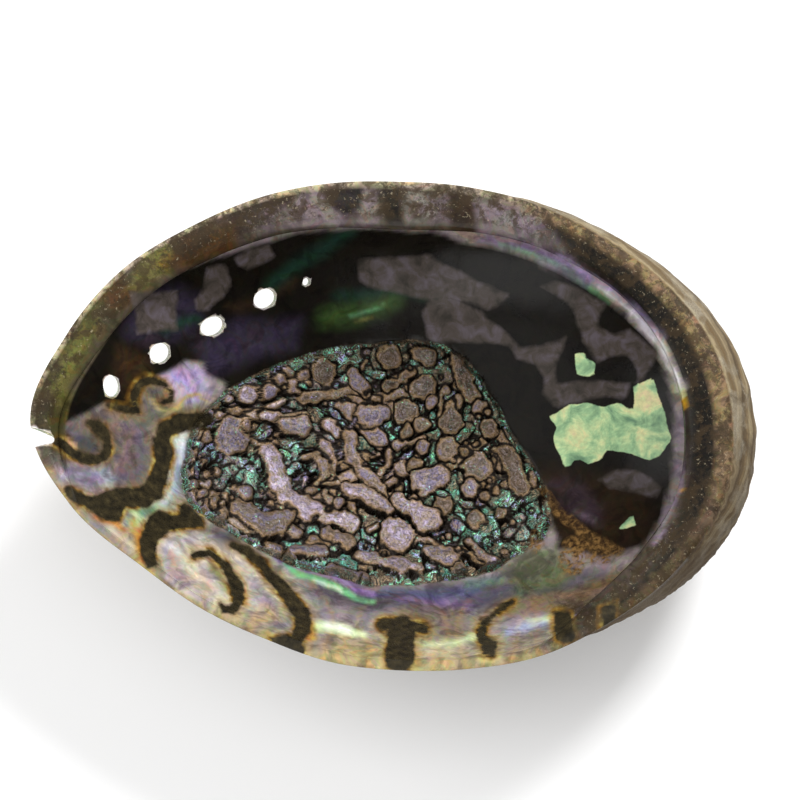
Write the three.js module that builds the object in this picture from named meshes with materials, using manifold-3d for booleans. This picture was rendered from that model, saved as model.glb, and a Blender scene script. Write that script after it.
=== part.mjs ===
// An abalone shell, lying on its back with its opening up.
//
// The shell is one grown piece: a shallow, ear-shaped bowl. Its thick ledge runs
// along the back rim and round the spire end, and ends at the front tip beside a
// notch. The opposite rim is a thin lip. Five breathing holes follow the ledge,
// a raised muscle scar lies in the middle of the bowl, and a low spire stands on
// the outside near the wide end. The bowl rests on a small worn flat.
//
// Millimetres. +X runs from the front tip to the spire end, +Y from the thin lip
// to the ledge, +Z out of the opening. The origin is under the middle of the
// shell, on the surface that it rests on.

import * as THREE from "three";
import { mergeVertices } from "three/addons/utils/BufferGeometryUtils.js";
import Module from "manifold-3d";

// ---- Driving dimensions -------------------------------------------------

// Radius of the rim's outer edge from the bowl's middle, every 15 degrees from +X.
const rimRadius = [
  67.8, 65.9, 61.8, 57.5, 54.9, 53.1, 52.4, 53.9, 56.6, 60.2, 65.7, 70.6,
  75.0, 68.8, 60.4, 55.8, 52.8, 52.1, 52.0, 53.6, 56.8, 59.9, 64.1, 67.6,
];
// Radial width of the ledge at the same stations; the lip is as thin as lipWidth.
const ledgeWidth = [
  9.3, 8.8, 7.6, 7.3, 8.0, 9.2, 9.7, 9.2, 8.4, 7.8, 7.6, 7.2,
  5.6, 1.4, 1.4, 1.4, 1.4, 1.4, 1.4, 1.6, 3.2, 6.4, 8.4, 9.2,
];
// Radius of the muscle scar's outline at the same stations.
const scarRadius = [
  32.0, 29.0, 26.5, 26.0, 26.5, 27.5, 28.0, 27.2, 27.0, 30.0, 35.0, 41.0,
  45.2, 43.0, 37.5, 31.0, 27.2, 25.4, 25.0, 25.8, 28.2, 32.5, 37.5, 35.5,
];
// Shape of the wall every 45 degrees from +X. A section of the outside is a cubic
// curve from the middle of the bottom to the rim: bottomReach is how far its flat
// start reaches, as a share of the rim's radius, and wallReach and wallHeight place
// its upper handle, outwards from the rim and above the bottom.
const rimHeight = [39.9, 39.5, 39.1, 39.5, 40.4, 39.3, 38.5, 39.0];
const bottomReach = [0.8, 0.74, 0.64, 0.56, 0.5, 0.52, 0.56, 0.7];
const wallReach = [22.5, 20.5, 3, -9, -19, -15, -14, 1];
const wallHeight = [18, 17, 18, 19, 27, 23, 21, 18];
// The bottom falls towards the spire end, so that the shell rests below its weight.
const bottomSlope = 0.07;

const middleThickness = 3.6; // shell wall under the scar
const ledgeWallThickness = 2.8; // wall below the ledge
const lipWallThickness = 1.8; // wall below the thin lip
const lipWidth = 1.4; // a ledge no wider than this is a bare lip
const ledgeEdgeThickness = 2.6; // the ledge's free edge
const ledgeDip = 1.5; // how far that edge lies below the rim
const ledgeCrown = 0.5; // how far the ledge's top swells
const scarRise = 1.3;
const scarSlope = 2.4; // width of the slope at the scar's outline

const restCut = 0.55; // depth of the worn flat that the shell rests on

// The spire: its middle, the radius of its foot and how far it stands out.
const apex = { x: 51, y: -22 };
const spireRadius = 17;
const spireRise = 3.2;

// Breathing holes, newest first: middle, and size along and across the row.
const holes = [
  { x: -59.7, y: 10.3, z: 31.2, along: 3.6, across: 4.6 },
  { x: -50.2, y: 19.2, z: 26.0, along: 4.8, across: 4.2 },
  { x: -39.6, y: 26.9, z: 20.9, along: 5.6, across: 4.0 },
  { x: -28.7, y: 33.9, z: 18.5, along: 5.2, across: 4.2 },
  { x: -19.9, y: 38.1, z: 17.3, along: 1.8, across: 1.7 },
];
const holeRowTurn = 0.3; // direction of the row, in radians from +X
const holeDrill = new THREE.Vector3(-0.22, 0.34, -0.9).normalize();
const holeDepth = 12;

// The notch at the front tip, where the next hole was forming. It widens outwards.
const notch = { x: -76.5, y: -3.8, length: 6.4, mouth: 6.0, width: 2.4 };

// Mesh density: sections round the bowl, and points along one section.
const sections = 96;
const outerSteps = 19;
const innerSteps = 19;

// ---- Curves ---------------------------------------------------------------

// Reads a closed Catmull-Rom curve through evenly spaced values, at a turn of 0 to 1.
function readAround(values, turn) {
  const count = values.length;
  const place = (turn - Math.floor(turn)) * count;
  const index = Math.floor(place);
  const f = place - index;
  const [a, b, c, d] = [-1, 0, 1, 2].map((k) => values[(index + k + count) % count]);
  const bend = f * (2 * a - 5 * b + 4 * c - d + f * (3 * (b - c) + d - a));
  return b + 0.5 * f * (c - a + bend);
}

const smooth = (low, high, value) => THREE.MathUtils.smoothstep(value, low, high);
const lerp = THREE.MathUtils.lerp;

// The outside of one section, as a curve in (radius, height).
function outerCurve(turn) {
  const rim = readAround(rimRadius, turn);
  const top = readAround(rimHeight, turn);
  const reach = rim * readAround(bottomReach, turn);
  return new THREE.CubicBezierCurve(
    new THREE.Vector2(0, 0),
    new THREE.Vector2(reach, -bottomSlope * reach * Math.cos(turn * 2 * Math.PI)),
    new THREE.Vector2(rim + readAround(wallReach, turn), readAround(wallHeight, turn)),
    new THREE.Vector2(rim, top),
  );
}

// How much of a full ledge there is at a turn, from 0 for the thin lip to 1.
const ledgeShare = (turn) => smooth(lipWidth, 7, readAround(ledgeWidth, turn));

// The top of the shell from the wall's last inside point out to the rim: a rounded
// thin lip, or a ledge with a free edge that stands in over the bowl.
function ledgePoints(turn, wallPoint, rimPoint) {
  const share = ledgeShare(turn);
  const width = Math.max(readAround(ledgeWidth, turn), lipWidth);
  const edge = rimPoint.x - width;
  const top = rimPoint.y - ledgeDip;
  const ledge = [
    [edge + 1.4, top - ledgeEdgeThickness],
    [edge + 0.3, top - ledgeEdgeThickness * 0.75],
    [edge, top - ledgeEdgeThickness * 0.4],
    [edge + 0.9, top],
    [edge + width * 0.45, top + ledgeDip * 0.55 + ledgeCrown],
    [edge + width * 0.8, top + ledgeDip * 0.95 + ledgeCrown * 0.6],
  ];
  const crest = new THREE.Vector2(wallPoint.x + 0.2, rimPoint.y + 0.1);
  const lip = new THREE.QuadraticBezierCurve(wallPoint, crest, rimPoint);
  return ledge.map(([x, y], i) =>
    lip.getPoint((i + 1) / (ledge.length + 1)).lerp(new THREE.Vector2(x, y), share),
  );
}

// The inside of one section, from the middle of the bowl to the rim's last point.
function innerPoints(turn, curve) {
  const share = ledgeShare(turn);
  const wallTop = lerp(0.985, 0.9, Math.sqrt(share));
  const wallThickness = lerp(lipWallThickness, ledgeWallThickness, share);
  const points = [];
  for (let i = 0; i <= innerSteps; i++) {
    const t = (wallTop * i) / innerSteps;
    const at = curve.getPoint(t);
    const along = curve.getTangent(t);
    const thickness = lerp(middleThickness, wallThickness, smooth(0.3, 0.95, t));
    const point = new THREE.Vector2(at.x - along.y * thickness, at.y + along.x * thickness);
    const past = readAround(scarRadius, turn) - point.x;
    point.y += scarRise * smooth(-scarSlope / 2, scarSlope / 2, past);
    points.push(point);
  }
  return [...points, ...ledgePoints(turn, points[innerSteps], curve.getPoint(1))];
}

// ---- The shell --------------------------------------------------------------

// Pushes a point of the outside down, to raise the spire.
function raiseSpire(point) {
  const away = Math.hypot(point.x - apex.x, point.y - apex.y) / spireRadius;
  const rise = spireRise * Math.exp(-2.2 * away * away);
  point.z -= rise;
  point.x += rise * 0.35;
}

// All the points of one section in space, from the inner middle to the outer middle.
function sectionPoints(turn) {
  const angle = turn * 2 * Math.PI;
  const curve = outerCurve(turn);
  const place = (p) => new THREE.Vector3(p.x * Math.cos(angle), p.x * Math.sin(angle), p.y);
  const inside = innerPoints(turn, curve).map(place);
  const outside = [];
  for (let i = outerSteps; i >= 0; i--) {
    const point = place(curve.getPoint(i / outerSteps));
    if (i < outerSteps) raiseSpire(point);
    point.z = Math.max(point.z, restCut);
    outside.push(point);
  }
  return [...inside, ...outside];
}

// A closed mesh from the sections: rings of quads between two poles.
function shellGeometry() {
  const rows = Array.from({ length: sections }, (_, j) => sectionPoints(j / sections));
  const depth = rows[0].length;
  const vertices = [];
  const faces = [];
  const at = (j, k) => {
    if (k === 0) return 0;
    if (k === depth - 1) return 1;
    return 2 + (j % sections) * (depth - 2) + (k - 1);
  };
  vertices.push(...rows[0][0].toArray(), ...rows[0][depth - 1].toArray());
  rows.forEach((row) => row.slice(1, -1).forEach((p) => vertices.push(...p.toArray())));
  for (let j = 0; j < sections; j++) {
    for (let k = 0; k < depth - 1; k++) {
      const [a, b, c, d] = [at(j, k), at(j, k + 1), at(j + 1, k + 1), at(j + 1, k)];
      if (k > 0) faces.push(a, b, d);
      if (k < depth - 2) faces.push(b, c, d);
    }
  }
  const geometry = new THREE.BufferGeometry();
  geometry.setAttribute("position", new THREE.Float32BufferAttribute(vertices, 3));
  geometry.setIndex(faces);
  return geometry;
}

// An oval drill for one breathing hole, through both sides of the wall.
function holeGeometry(hole) {
  const drill = new THREE.CylinderGeometry(0.5, 0.5, holeDepth, 20);
  drill.rotateX(Math.PI / 2);
  drill.scale(hole.along, hole.across, 1);
  drill.rotateZ(holeRowTurn);
  const turn = new THREE.Quaternion().setFromUnitVectors(
    new THREE.Vector3(0, 0, -1),
    holeDrill,
  );
  drill.applyQuaternion(turn);
  drill.translate(hole.x, hole.y, hole.z);
  return drill;
}

// A round-ended wedge that cuts the notch out of the front tip.
function notchGeometry() {
  const outline = new THREE.Shape();
  const half = notch.width / 2;
  outline.moveTo(0, -notch.mouth / 2);
  outline.lineTo(notch.length - half, -half);
  outline.absarc(notch.length - half, 0, half, -Math.PI / 2, Math.PI / 2, false);
  outline.lineTo(0, notch.mouth / 2);
  outline.closePath();
  const slot = new THREE.ExtrudeGeometry(outline, {
    depth: 20,
    bevelEnabled: false,
    curveSegments: 8,
  });
  slot.translate(notch.x, notch.y, 28);
  return slot;
}

// ---- Solids -------------------------------------------------------------------

const wasm = await Module();
wasm.setup();

function toSolid(geometry) {
  const bare = new THREE.BufferGeometry();
  bare.setAttribute("position", geometry.getAttribute("position"));
  bare.setIndex(geometry.getIndex());
  const merged = mergeVertices(bare, 1e-4);
  return new wasm.Manifold(
    new wasm.Mesh({
      numProp: 3,
      vertProperties: new Float32Array(merged.getAttribute("position").array),
      triVerts: new Uint32Array(merged.getIndex().array),
    }),
  );
}

function toGeometry(solid) {
  const mesh = solid.getMesh();
  const geometry = new THREE.BufferGeometry();
  geometry.setAttribute("position", new THREE.BufferAttribute(mesh.vertProperties, 3));
  geometry.setIndex(new THREE.BufferAttribute(mesh.triVerts, 1));
  geometry.computeVertexNormals();
  return geometry;
}

// Moves a geometry so that its box is centred on the Z axis and stands on z = 0.
function standOnOrigin(geometry) {
  geometry.computeBoundingBox();
  const middle = geometry.boundingBox.getCenter(new THREE.Vector3());
  geometry.translate(-middle.x, -middle.y, -geometry.boundingBox.min.z);
  return geometry;
}

let shellSolid = toSolid(shellGeometry());
for (const hole of holes) shellSolid = shellSolid.subtract(toSolid(holeGeometry(hole)));
shellSolid = shellSolid.subtract(toSolid(notchGeometry()));

const nacre = new THREE.MeshStandardMaterial({
  name: "nacre",
  color: 0x6d6658,
  roughness: 0.3,
  metalness: 0,
});
const shell = new THREE.Mesh(standOnOrigin(toGeometry(shellSolid)), nacre);
shell.name = "abalone_shell";

const abalone = new THREE.Group();
abalone.add(shell);

export default abalone;
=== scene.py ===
import math
import bpy
import numpy as np
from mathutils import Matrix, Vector


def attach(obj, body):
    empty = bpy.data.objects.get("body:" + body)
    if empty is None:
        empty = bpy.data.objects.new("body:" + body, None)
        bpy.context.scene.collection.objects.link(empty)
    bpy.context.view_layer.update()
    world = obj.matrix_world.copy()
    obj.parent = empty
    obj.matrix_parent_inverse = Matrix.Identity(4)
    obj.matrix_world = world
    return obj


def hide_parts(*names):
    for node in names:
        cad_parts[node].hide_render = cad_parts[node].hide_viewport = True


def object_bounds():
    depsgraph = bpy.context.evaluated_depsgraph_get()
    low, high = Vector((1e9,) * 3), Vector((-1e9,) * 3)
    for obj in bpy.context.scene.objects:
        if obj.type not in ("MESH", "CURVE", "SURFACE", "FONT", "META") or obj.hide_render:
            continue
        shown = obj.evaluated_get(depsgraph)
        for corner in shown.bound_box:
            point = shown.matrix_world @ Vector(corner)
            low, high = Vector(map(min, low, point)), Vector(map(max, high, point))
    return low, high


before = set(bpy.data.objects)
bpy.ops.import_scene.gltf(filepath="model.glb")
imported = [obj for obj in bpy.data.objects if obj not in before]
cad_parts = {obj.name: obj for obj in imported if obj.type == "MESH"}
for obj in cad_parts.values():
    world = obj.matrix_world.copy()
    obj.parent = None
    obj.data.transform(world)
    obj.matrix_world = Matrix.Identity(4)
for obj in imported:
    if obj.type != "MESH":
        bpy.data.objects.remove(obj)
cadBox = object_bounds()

mm = 0.001
low, high = (np.array(corner) / mm for corner in cadBox)
print("frame loaded, box in mm:", low.round(2), high.round(2))

# Form of the shell, in mm from the bowl's middle
form = {
    # rim's outer edge, width of the ledge and outline of the muscle scar, every 15 degrees from +X
    "rimRadius": [67.8, 65.9, 61.8, 57.5, 54.9, 53.1, 52.4, 53.9, 56.6, 60.2, 65.7, 70.6,
                  75.0, 68.8, 60.4, 55.8, 52.8, 52.1, 52.0, 53.6, 56.8, 59.9, 64.1, 67.6],
    "ledgeWidth": [9.3, 8.8, 7.6, 7.3, 8.0, 9.2, 9.7, 9.2, 8.4, 7.8, 7.6, 7.2,
                   5.6, 1.4, 1.4, 1.4, 1.4, 1.4, 1.4, 1.6, 3.2, 6.4, 8.4, 9.2],
    "scarRadius": [32.0, 29.0, 26.5, 26.0, 26.5, 27.5, 28.0, 27.2, 27.0, 30.0, 35.0, 41.0,
                   45.2, 43.0, 37.5, 31.0, 27.2, 25.4, 25.0, 25.8, 28.2, 32.5, 37.5, 35.5],
    # handles of the outside's curve, every 45 degrees
    "rimHeight": [39.9, 39.5, 39.1, 39.5, 40.4, 39.3, 38.5, 39.0],
    "bottomReach": [0.8, 0.74, 0.64, 0.56, 0.5, 0.52, 0.56, 0.7],
    "wallReach": [22.5, 20.5, 3, -9, -19, -15, -14, 1],
    "wallHeight": [18, 17, 18, 19, 27, 23, 21, 18],
    "bottomSlope": 0.07,
    "middleThickness": 3.6,
    "ledgeWallThickness": 2.8,
    "lipWallThickness": 1.8,
    "lipWidth": 1.4,
    "fullLedge": 7.0,
    "ledgeEdge": 2.6,
    "ledgeDip": 1.5,
    "ledgeCrown": 0.5,
    "restCut": 0.55,
    "apex": (51.0, -22.0),
    "spireRadius": 17.0,
    "spireRise": 3.2,
    "spireFall": 2.2,
    "spireLean": 0.35,
}

mesh = {
    "segments": 480,
    "scarRows": 78,
    "wallRows": 44,
    "ledgeRows": 18,
    "outsideRows": 62,
}

holes = [  # middle x, y, z and size along and across the row
    (-59.7, 10.3, 31.2, 3.6, 4.6),
    (-50.2, 19.2, 26.0, 4.8, 4.2),
    (-39.6, 26.9, 20.9, 5.6, 4.0),
    (-28.7, 33.9, 18.5, 5.2, 4.2),
    (-19.9, 38.1, 17.3, 1.8, 1.7),
]
holeRow = {"turn": 0.3, "drill": (-0.22, 0.34, -0.9), "depth": 12.0}
notch = {"x": -76.5, "y": -3.8, "length": 6.4, "mouth": 6.0, "width": 2.4, "low": 28.0, "tall": 20.0}

# The inside's pattern is laid out on a flat sheet that leans 17 degrees to the front, seen from 700 mm
layout = {"lean": math.radians(17), "distance": 700.0, "middle": (0.0, 0.0, 20.0), "wander": 0.5}


# Small helpers
def between(a, b, c, d, f):  # Catmull-Rom from b to c
    return b + 0.5 * f * (c - a + f * (2 * a - 5 * b + 4 * c - d + f * (3 * (b - c) + d - a)))


def readAround(values, turn):  # closed Catmull-Rom curve through evenly spaced values
    values = np.asarray(values, float)
    count = len(values)
    place = (turn % 1.0) * count
    index = np.floor(place).astype(int)
    f = place - index
    return between(*(values[(index + k) % count] for k in (-1, 0, 1, 2)), f)


def smooth(start, end, value):
    f = np.clip((value - start) / (end - start), 0, 1)
    return f * f * (3 - 2 * f)


def blend(a, b, f):
    return a + (b - a) * f


latticeSize = 97
lattice = np.random.default_rng(11).random((latticeSize, latticeSize, 7)) * 2 - 1


def noise(x, y, layer=0):  # smooth noise, -1 to 1
    xi, yi = np.floor(x).astype(int), np.floor(y).astype(int)
    fx, fy = x - xi, y - yi
    fx, fy = fx * fx * (3 - 2 * fx), fy * fy * (3 - 2 * fy)
    at = lambda i, j: lattice[(xi + i) % latticeSize, (yi + j) % latticeSize, layer]
    return blend(blend(at(0, 0), at(1, 0), fx), blend(at(0, 1), at(1, 1), fx), fy)


def rough(x, y, layer=0, octaves=3):
    total, gain = 0, 1.0
    for octave in range(octaves):
        total = total + gain * noise(x * 2**octave + 17.3 * octave, y * 2**octave + 5.1 * octave, layer)
        gain *= 0.5
    return total


def toSegment(u, v, a, b):  # distance to a segment, and how far along it
    ax, ay, dx, dy = a[0], a[1], b[0] - a[0], b[1] - a[1]
    f = np.clip(((u - ax) * dx + (v - ay) * dy) / max(dx * dx + dy * dy, 1e-9), 0, 1)
    return np.hypot(u - ax - f * dx, v - ay - f * dy), f


def strokeDistance(u, v, points, width=None):  # signed distance to a stroke's edge, negative inside
    best = np.full(u.shape, 1e3)
    if len(points) == 1:
        return np.hypot(u - points[0][0], v - points[0][1]) - (width or 2 * points[0][2]) / 2
    for a, b in zip(points, points[1:]):
        away, f = toSegment(u, v, a, b)
        half = width / 2 if width else blend(a[2], b[2], f)
        best = np.minimum(best, away - half)
    return best


def areaDistance(u, v, outline):  # signed distance to an outline, negative inside
    best = np.full(u.shape, 1e3)
    inside = np.zeros(u.shape, bool)
    for a, b in zip(outline, outline[1:] + outline[:1]):
        best = np.minimum(best, toSegment(u, v, a, b)[0])
        crosses = (a[1] > v) != (b[1] > v)
        if a[1] != b[1]:
            inside ^= crosses & (u < a[0] + (v - a[1]) * (b[0] - a[0]) / (b[1] - a[1]))
    return np.where(inside, -best, best)


# Sections of the shell
def outerCurve(turn, t):  # radius, height and direction of the outside
    rim, top = readAround(form["rimRadius"], turn), readAround(form["rimHeight"], turn)
    reach = rim * readAround(form["bottomReach"], turn)
    start = (reach, -form["bottomSlope"] * reach * np.cos(turn * 2 * np.pi))
    end = (rim + readAround(form["wallReach"], turn), readAround(form["wallHeight"], turn))
    s = 1 - t
    r, z = (3 * s * s * t * p + 3 * s * t * t * q + t**3 * e for p, q, e in zip(start, end, (rim, top)))
    dr, dz = (3 * s * s * p + 6 * s * t * (q - p) + 3 * t * t * (e - q)
              for p, q, e in zip(start, end, (rim, top)))
    length = np.hypot(dr, dz)
    return r, z, dr / length, dz / length


def innerCurve(turn, fine=260):  # the inside wall, from the middle to below the ledge
    share = smooth(form["lipWidth"], form["fullLedge"], readAround(form["ledgeWidth"], turn))
    top = blend(0.985, 0.9, np.sqrt(share))
    t = top * np.linspace(0, 1, fine)[None, :]
    r, z, dr, dz = outerCurve(turn, t)
    wall = blend(form["lipWallThickness"], form["ledgeWallThickness"], share)
    thick = blend(form["middleThickness"], wall, smooth(0.3, 0.95, t))
    return r - dz * thick, z + dr * thick, share


def ledgeCurve(turn, wallR, wallZ, share):  # over the ledge or lip, to the rim
    width = np.maximum(readAround(form["ledgeWidth"], turn), form["lipWidth"])
    rimR, rimZ = readAround(form["rimRadius"], turn), readAround(form["rimHeight"], turn)
    edge, top = rimR - width, rimZ - form["ledgeDip"]
    thick, dip, crown = form["ledgeEdge"], form["ledgeDip"], form["ledgeCrown"]
    ledge = [
        (edge + 1.4, top - thick), (edge + 0.3, top - thick * 0.75), (edge, top - thick * 0.4),
        (edge + 0.9, top), (edge + width * 0.45, top + dip * 0.55 + crown),
        (edge + width * 0.8, top + dip * 0.95 + crown * 0.6),
    ]
    points = [(wallR, wallZ)]
    for i, (r, z) in enumerate(ledge):
        f = (i + 1) / (len(ledge) + 1)
        lipR = (1 - f)**2 * wallR + 2 * f * (1 - f) * (wallR + 0.2) + f * f * rimR
        lipZ = (1 - f)**2 * wallZ + 2 * f * (1 - f) * (rimZ + 0.1) + f * f * rimZ
        points.append((blend(lipR, r, share), blend(lipZ, z, share)))
    points.append((rimR, rimZ))
    points = [(2 * wallR - points[1][0], 2 * wallZ - points[1][1])] + points + [(rimR + 0.3, rimZ - 0.8)]
    rs, zs = [], []
    for k in range(1, len(points) - 2):  # Catmull-Rom through the ledge's points
        for f in np.arange(1, 9) / 8:
            for out, axis in ((rs, 0), (zs, 1)):
                out.append(between(*(points[k + i][axis] for i in (-1, 0, 1, 2)), f))
    return np.concatenate(rs, 1), np.concatenate(zs, 1)


def spread(r, z, stops):  # points of each section at given lengths along it
    along = np.concatenate([np.zeros((len(r), 1)), np.cumsum(np.hypot(np.diff(r), np.diff(z)), 1)], 1)
    places = stops(along, r)
    outR = np.stack([np.interp(p, a, line) for p, a, line in zip(places, along, r)])
    outZ = np.stack([np.interp(p, a, line) for p, a, line in zip(places, along, z)])
    return outR, outZ


def bareForm():  # grid of points, one row for each ring from the inner middle to the outer middle
    turn = (np.arange(mesh["segments"]) / mesh["segments"])[:, None]
    wallR, wallZ, share = innerCurve(turn)
    ledgeR, ledgeZ = ledgeCurve(turn, wallR[:, -1:], wallZ[:, -1:], share)
    inR, inZ = np.concatenate([wallR, ledgeR], 1), np.concatenate([wallZ, ledgeZ], 1)
    wallCount = wallR.shape[1] - 1
    scar = readAround(form["scarRadius"], turn)

    def insideStops(along, r):
        atScar = np.take_along_axis(along, (r > scar).argmax(1)[:, None], 1)
        atWall, atRim = along[:, wallCount:wallCount + 1], along[:, -1:]
        steps = lambda n: np.arange(1, n + 1)[None, :] / n
        return np.concatenate([
            atScar * steps(mesh["scarRows"]),
            blend(atScar, atWall, steps(mesh["wallRows"])),
            blend(atWall, atRim, steps(mesh["ledgeRows"])),
        ], 1)

    r, z = spread(inR, inZ, insideStops)
    t = np.linspace(1, 0, 400)[None, :] + 0 * turn
    outR, outZ, _, _ = outerCurve(turn, t)
    share = np.arange(1, mesh["outsideRows"] + 1)[None, :] / mesh["outsideRows"]
    r2, z2 = spread(outR, outZ, lambda along, _: along[:, -1:] * share)
    angle = turn * 2 * np.pi
    r, z = np.concatenate([0 * turn, r, r2], 1), np.concatenate([wallZ[:, :1], z, z2], 1)
    return np.stack([r * np.cos(angle), r * np.sin(angle), z], -1).transpose(1, 0, 2)


scarEnd = mesh["scarRows"]
wallEnd = scarEnd + mesh["wallRows"]
rimRow = wallEnd + mesh["ledgeRows"]
lastRow = rimRow + mesh["outsideRows"]


def raiseSpire(points):
    out = points[rimRow + 1:]
    away = np.hypot(out[..., 0] - form["apex"][0], out[..., 1] - form["apex"][1]) / form["spireRadius"]
    rise = form["spireRise"] * np.exp(-form["spireFall"] * away**2)
    out[..., 2] -= rise
    out[..., 0] += form["spireLean"] * rise


def normalsOf(points):
    alongRow = np.roll(points, -1, 1) - np.roll(points, 1, 1)
    acrossRow = np.gradient(points, axis=0)
    n = np.cross(acrossRow, alongRow)
    length = np.linalg.norm(n, axis=-1, keepdims=True)
    n = n / np.maximum(length, 1e-9)
    n[0], n[-1] = (0, 0, 1), (0, 0, -1)
    return n


points = bareForm()
raiseSpire(points)
points[..., 2] = np.maximum(points[..., 2], form["restCut"])
formLow, formHigh = points.min((0, 1)), points.max((0, 1))
move = np.array([(low + high)[0] / 2 - (formLow + formHigh)[0] / 2,
                 (low + high)[1] / 2 - (formLow + formHigh)[1] / 2, low[2] - formLow[2]])
points += move
normals = normalsOf(points)
print("bare form laid out, moved by", move.round(2))

# place of every point on the layout sheet
toView = np.array([0, -math.sin(layout["lean"]), math.cos(layout["lean"])])
sheetUp = np.array([0, math.cos(layout["lean"]), math.sin(layout["lean"])])
away = points - np.array(layout["middle"])
depth = layout["distance"] - away @ toView
u = layout["distance"] * away[..., 0] / depth
v = layout["distance"] * (away @ sheetUp) / depth
rowOf = np.arange(lastRow + 1)[:, None] + 0 * u
isInside = rowOf <= rimRow
uBent = u + layout["wander"] * rough(u / 7, v / 7, 0)  # slightly wandering coordinates
vBent = v + layout["wander"] * rough(u / 7, v / 7, 1)

# Pattern of the inside, drawn on the sheet in mm
scarOutline = [
    (-44.2, -5.1), (-43.6, 0.1), (-42.3, 4.3), (-40.2, 7.0), (-36.0, 10.4), (-30.8, 13.7), (-24.5, 16.6),
    (-18.2, 18.5), (-10.9, 20.0), (-2.5, 20.8), (4.8, 21.2), (10.0, 20.4), (13.2, 18.5), (15.7, 14.8),
    (18.4, 10.6), (21.6, 5.3), (24.7, 0.1), (27.9, -4.1), (30.4, -8.7), (31.0, -12.5), (31.6, -15.6),
    (29.9, -19.4), (25.8, -21.9), (21.6, -24.4), (17.4, -26.1), (12.1, -27.6), (4.8, -28.2), (-2.5, -28.2),
    (-9.9, -27.6), (-16.1, -26.1), (-22.4, -24.0), (-28.3, -21.3), (-34.0, -18.1), (-38.8, -15.2),
    (-42.3, -12.5), (-43.8, -9.3),
]
# outline of the near-black wall under the ledge: partly its own dark layers, partly painted shade
darkShadedWall = [
    (-71.0, 5.3), (-70.6, 8.7), (-68.9, 12.0), (-67.1, 15.8), (-64.3, 21.0), (-60.6, 29.4), (-58.0, 31.3),
    (-54.9, 32.6), (-48.6, 35.7), (-41.3, 38.4), (-32.9, 41.6), (-20.3, 44.7), (-3.6, 45.6), (6.9, 44.5),
    (17.4, 42.2), (29.9, 38.4), (40.4, 33.8), (47.8, 28.6), (53.0, 22.5), (56.8, 15.4), (58.6, 5.3),
    (57.8, -5.1), (55.5, -15.6), (50.9, -21.5), (42.5, -24.0), (34.1, -21.5), (31.0, -11.4), (27.9, -4.1),
    (18.4, 10.6), (13.2, 18.5), (4.8, 21.2), (-10.9, 20.0), (-24.5, 16.6), (-36.0, 10.4), (-36.7, 12.9),
    (-40.2, 15.4), (-40.4, 17.5), (-44.4, 17.7), (-48.6, 15.4), (-51.3, 14.5), (-54.3, 12.9), (-54.7, 9.5),
    (-55.5, 6.6), (-58.5, 7.0), (-60.6, 8.7), (-63.9, 7.4), (-67.5, 5.7), (-70.2, 4.9),
]

darkStrokes = [  # points, width
    ([
        (-64.3, 4.9), (-61.8, 3.4), (-60.3, 1.8), (-60.1, -0.5), (-61.0, -2.0), (-62.9, -2.8),
        (-65.2, -2.4), (-68.3, -1.2), (-71.0, 0.7),
    ], 2.2),
    ([
        (-41.3, 5.1), (-44.8, 4.9), (-49.0, 3.6), (-49.7, 1.3), (-49.0, -2.4), (-49.3, -6.2), (-50.7, -9.3),
    ], 3.7),
    ([(-50.7, -9.3), (-53.3, -10.8), (-56.6, -11.0), (-60.3, -11.2), (-63.7, -11.8)], 3.5),
    ([(-63.7, -11.6), (-66.4, -10.8), (-68.5, -9.5)], 2.4),
    ([
        (-42.6, -23.2, 0.84), (-39.4, -22.6, 0.94), (-36.3, -25.3, 1.05), (-34.2, -28.5, 1.26),
        (-33.0, -31.8, 1.26), (-34.2, -34.4, 1.05), (-36.3, -34.4, 0.84), (-36.8, -33.3, 0.63),
    ], None),
    ([
        (-34.8, -20.9, 0.84), (-31.9, -22.1, 0.94), (-28.5, -24.8, 1.05), (-25.2, -28.4, 1.26),
        (-22.6, -32.2, 1.47), (-20.3, -34.9, 1.68), (-19.7, -37.6, 1.68), (-21.2, -40.8, 1.47),
    ], None),
    ([(-3.2, -37.6), (4.8, -38.0)], 2.6),
    ([(0.6, -38.7), (0.6, -44.5)], 6.0),
    ([
        (24.1, -32.4, 0.63), (20.9, -34.9, 0.84), (18.2, -37.0, 0.94), (17.4, -39.5, 1.05),
        (18.2, -42.4, 1.05), (19.5, -43.3, 1.05),
    ], None),
    ([
        (-60.3, 8.3), (-56.0, 7.2), (-54.5, 7.0), (-54.9, 9.9), (-54.1, 12.6), (-51.8, 13.9), (-49.0, 13.3),
        (-47.2, 11.8), (-47.7, 9.9), (-49.3, 9.3),
    ], 1.5),
]
darkAreas = [
    [
        (-65.6, -11.2), (-62.2, -10.2), (-56.6, -10.4), (-56.2, -12.1), (-57.6, -13.7), (-58.5, -15.6),
        (-61.4, -15.2), (-63.9, -13.5),
    ],
    [
        (-52.8, -14.8), (-50.7, -13.3), (-46.3, -13.7), (-45.9, -11.9), (-44.3, -11.6), (-41.1, -14.4),
        (-40.9, -17.1), (-44.2, -17.5), (-47.8, -17.9), (-49.5, -19.6), (-50.5, -21.9), (-50.5, -24.8),
        (-52.6, -26.1), (-54.3, -23.2), (-54.3, -20.4), (-53.6, -17.5),
    ],
    [(17.8, -39.1), (21.1, -40.3), (20.3, -43.9), (17.4, -43.9)],
    [(-27.5, -40.3), (-20.3, -39.1), (-19.5, -42.9), (-21.2, -45.8), (-25.4, -44.1)],
    [(42.7, -33.6), (45.7, -33.0), (45.4, -38.3), (42.5, -39.1)],
    [(33.3, -34.5), (36.7, -34.9), (37.1, -40.8), (33.3, -40.8)],
]
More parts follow.
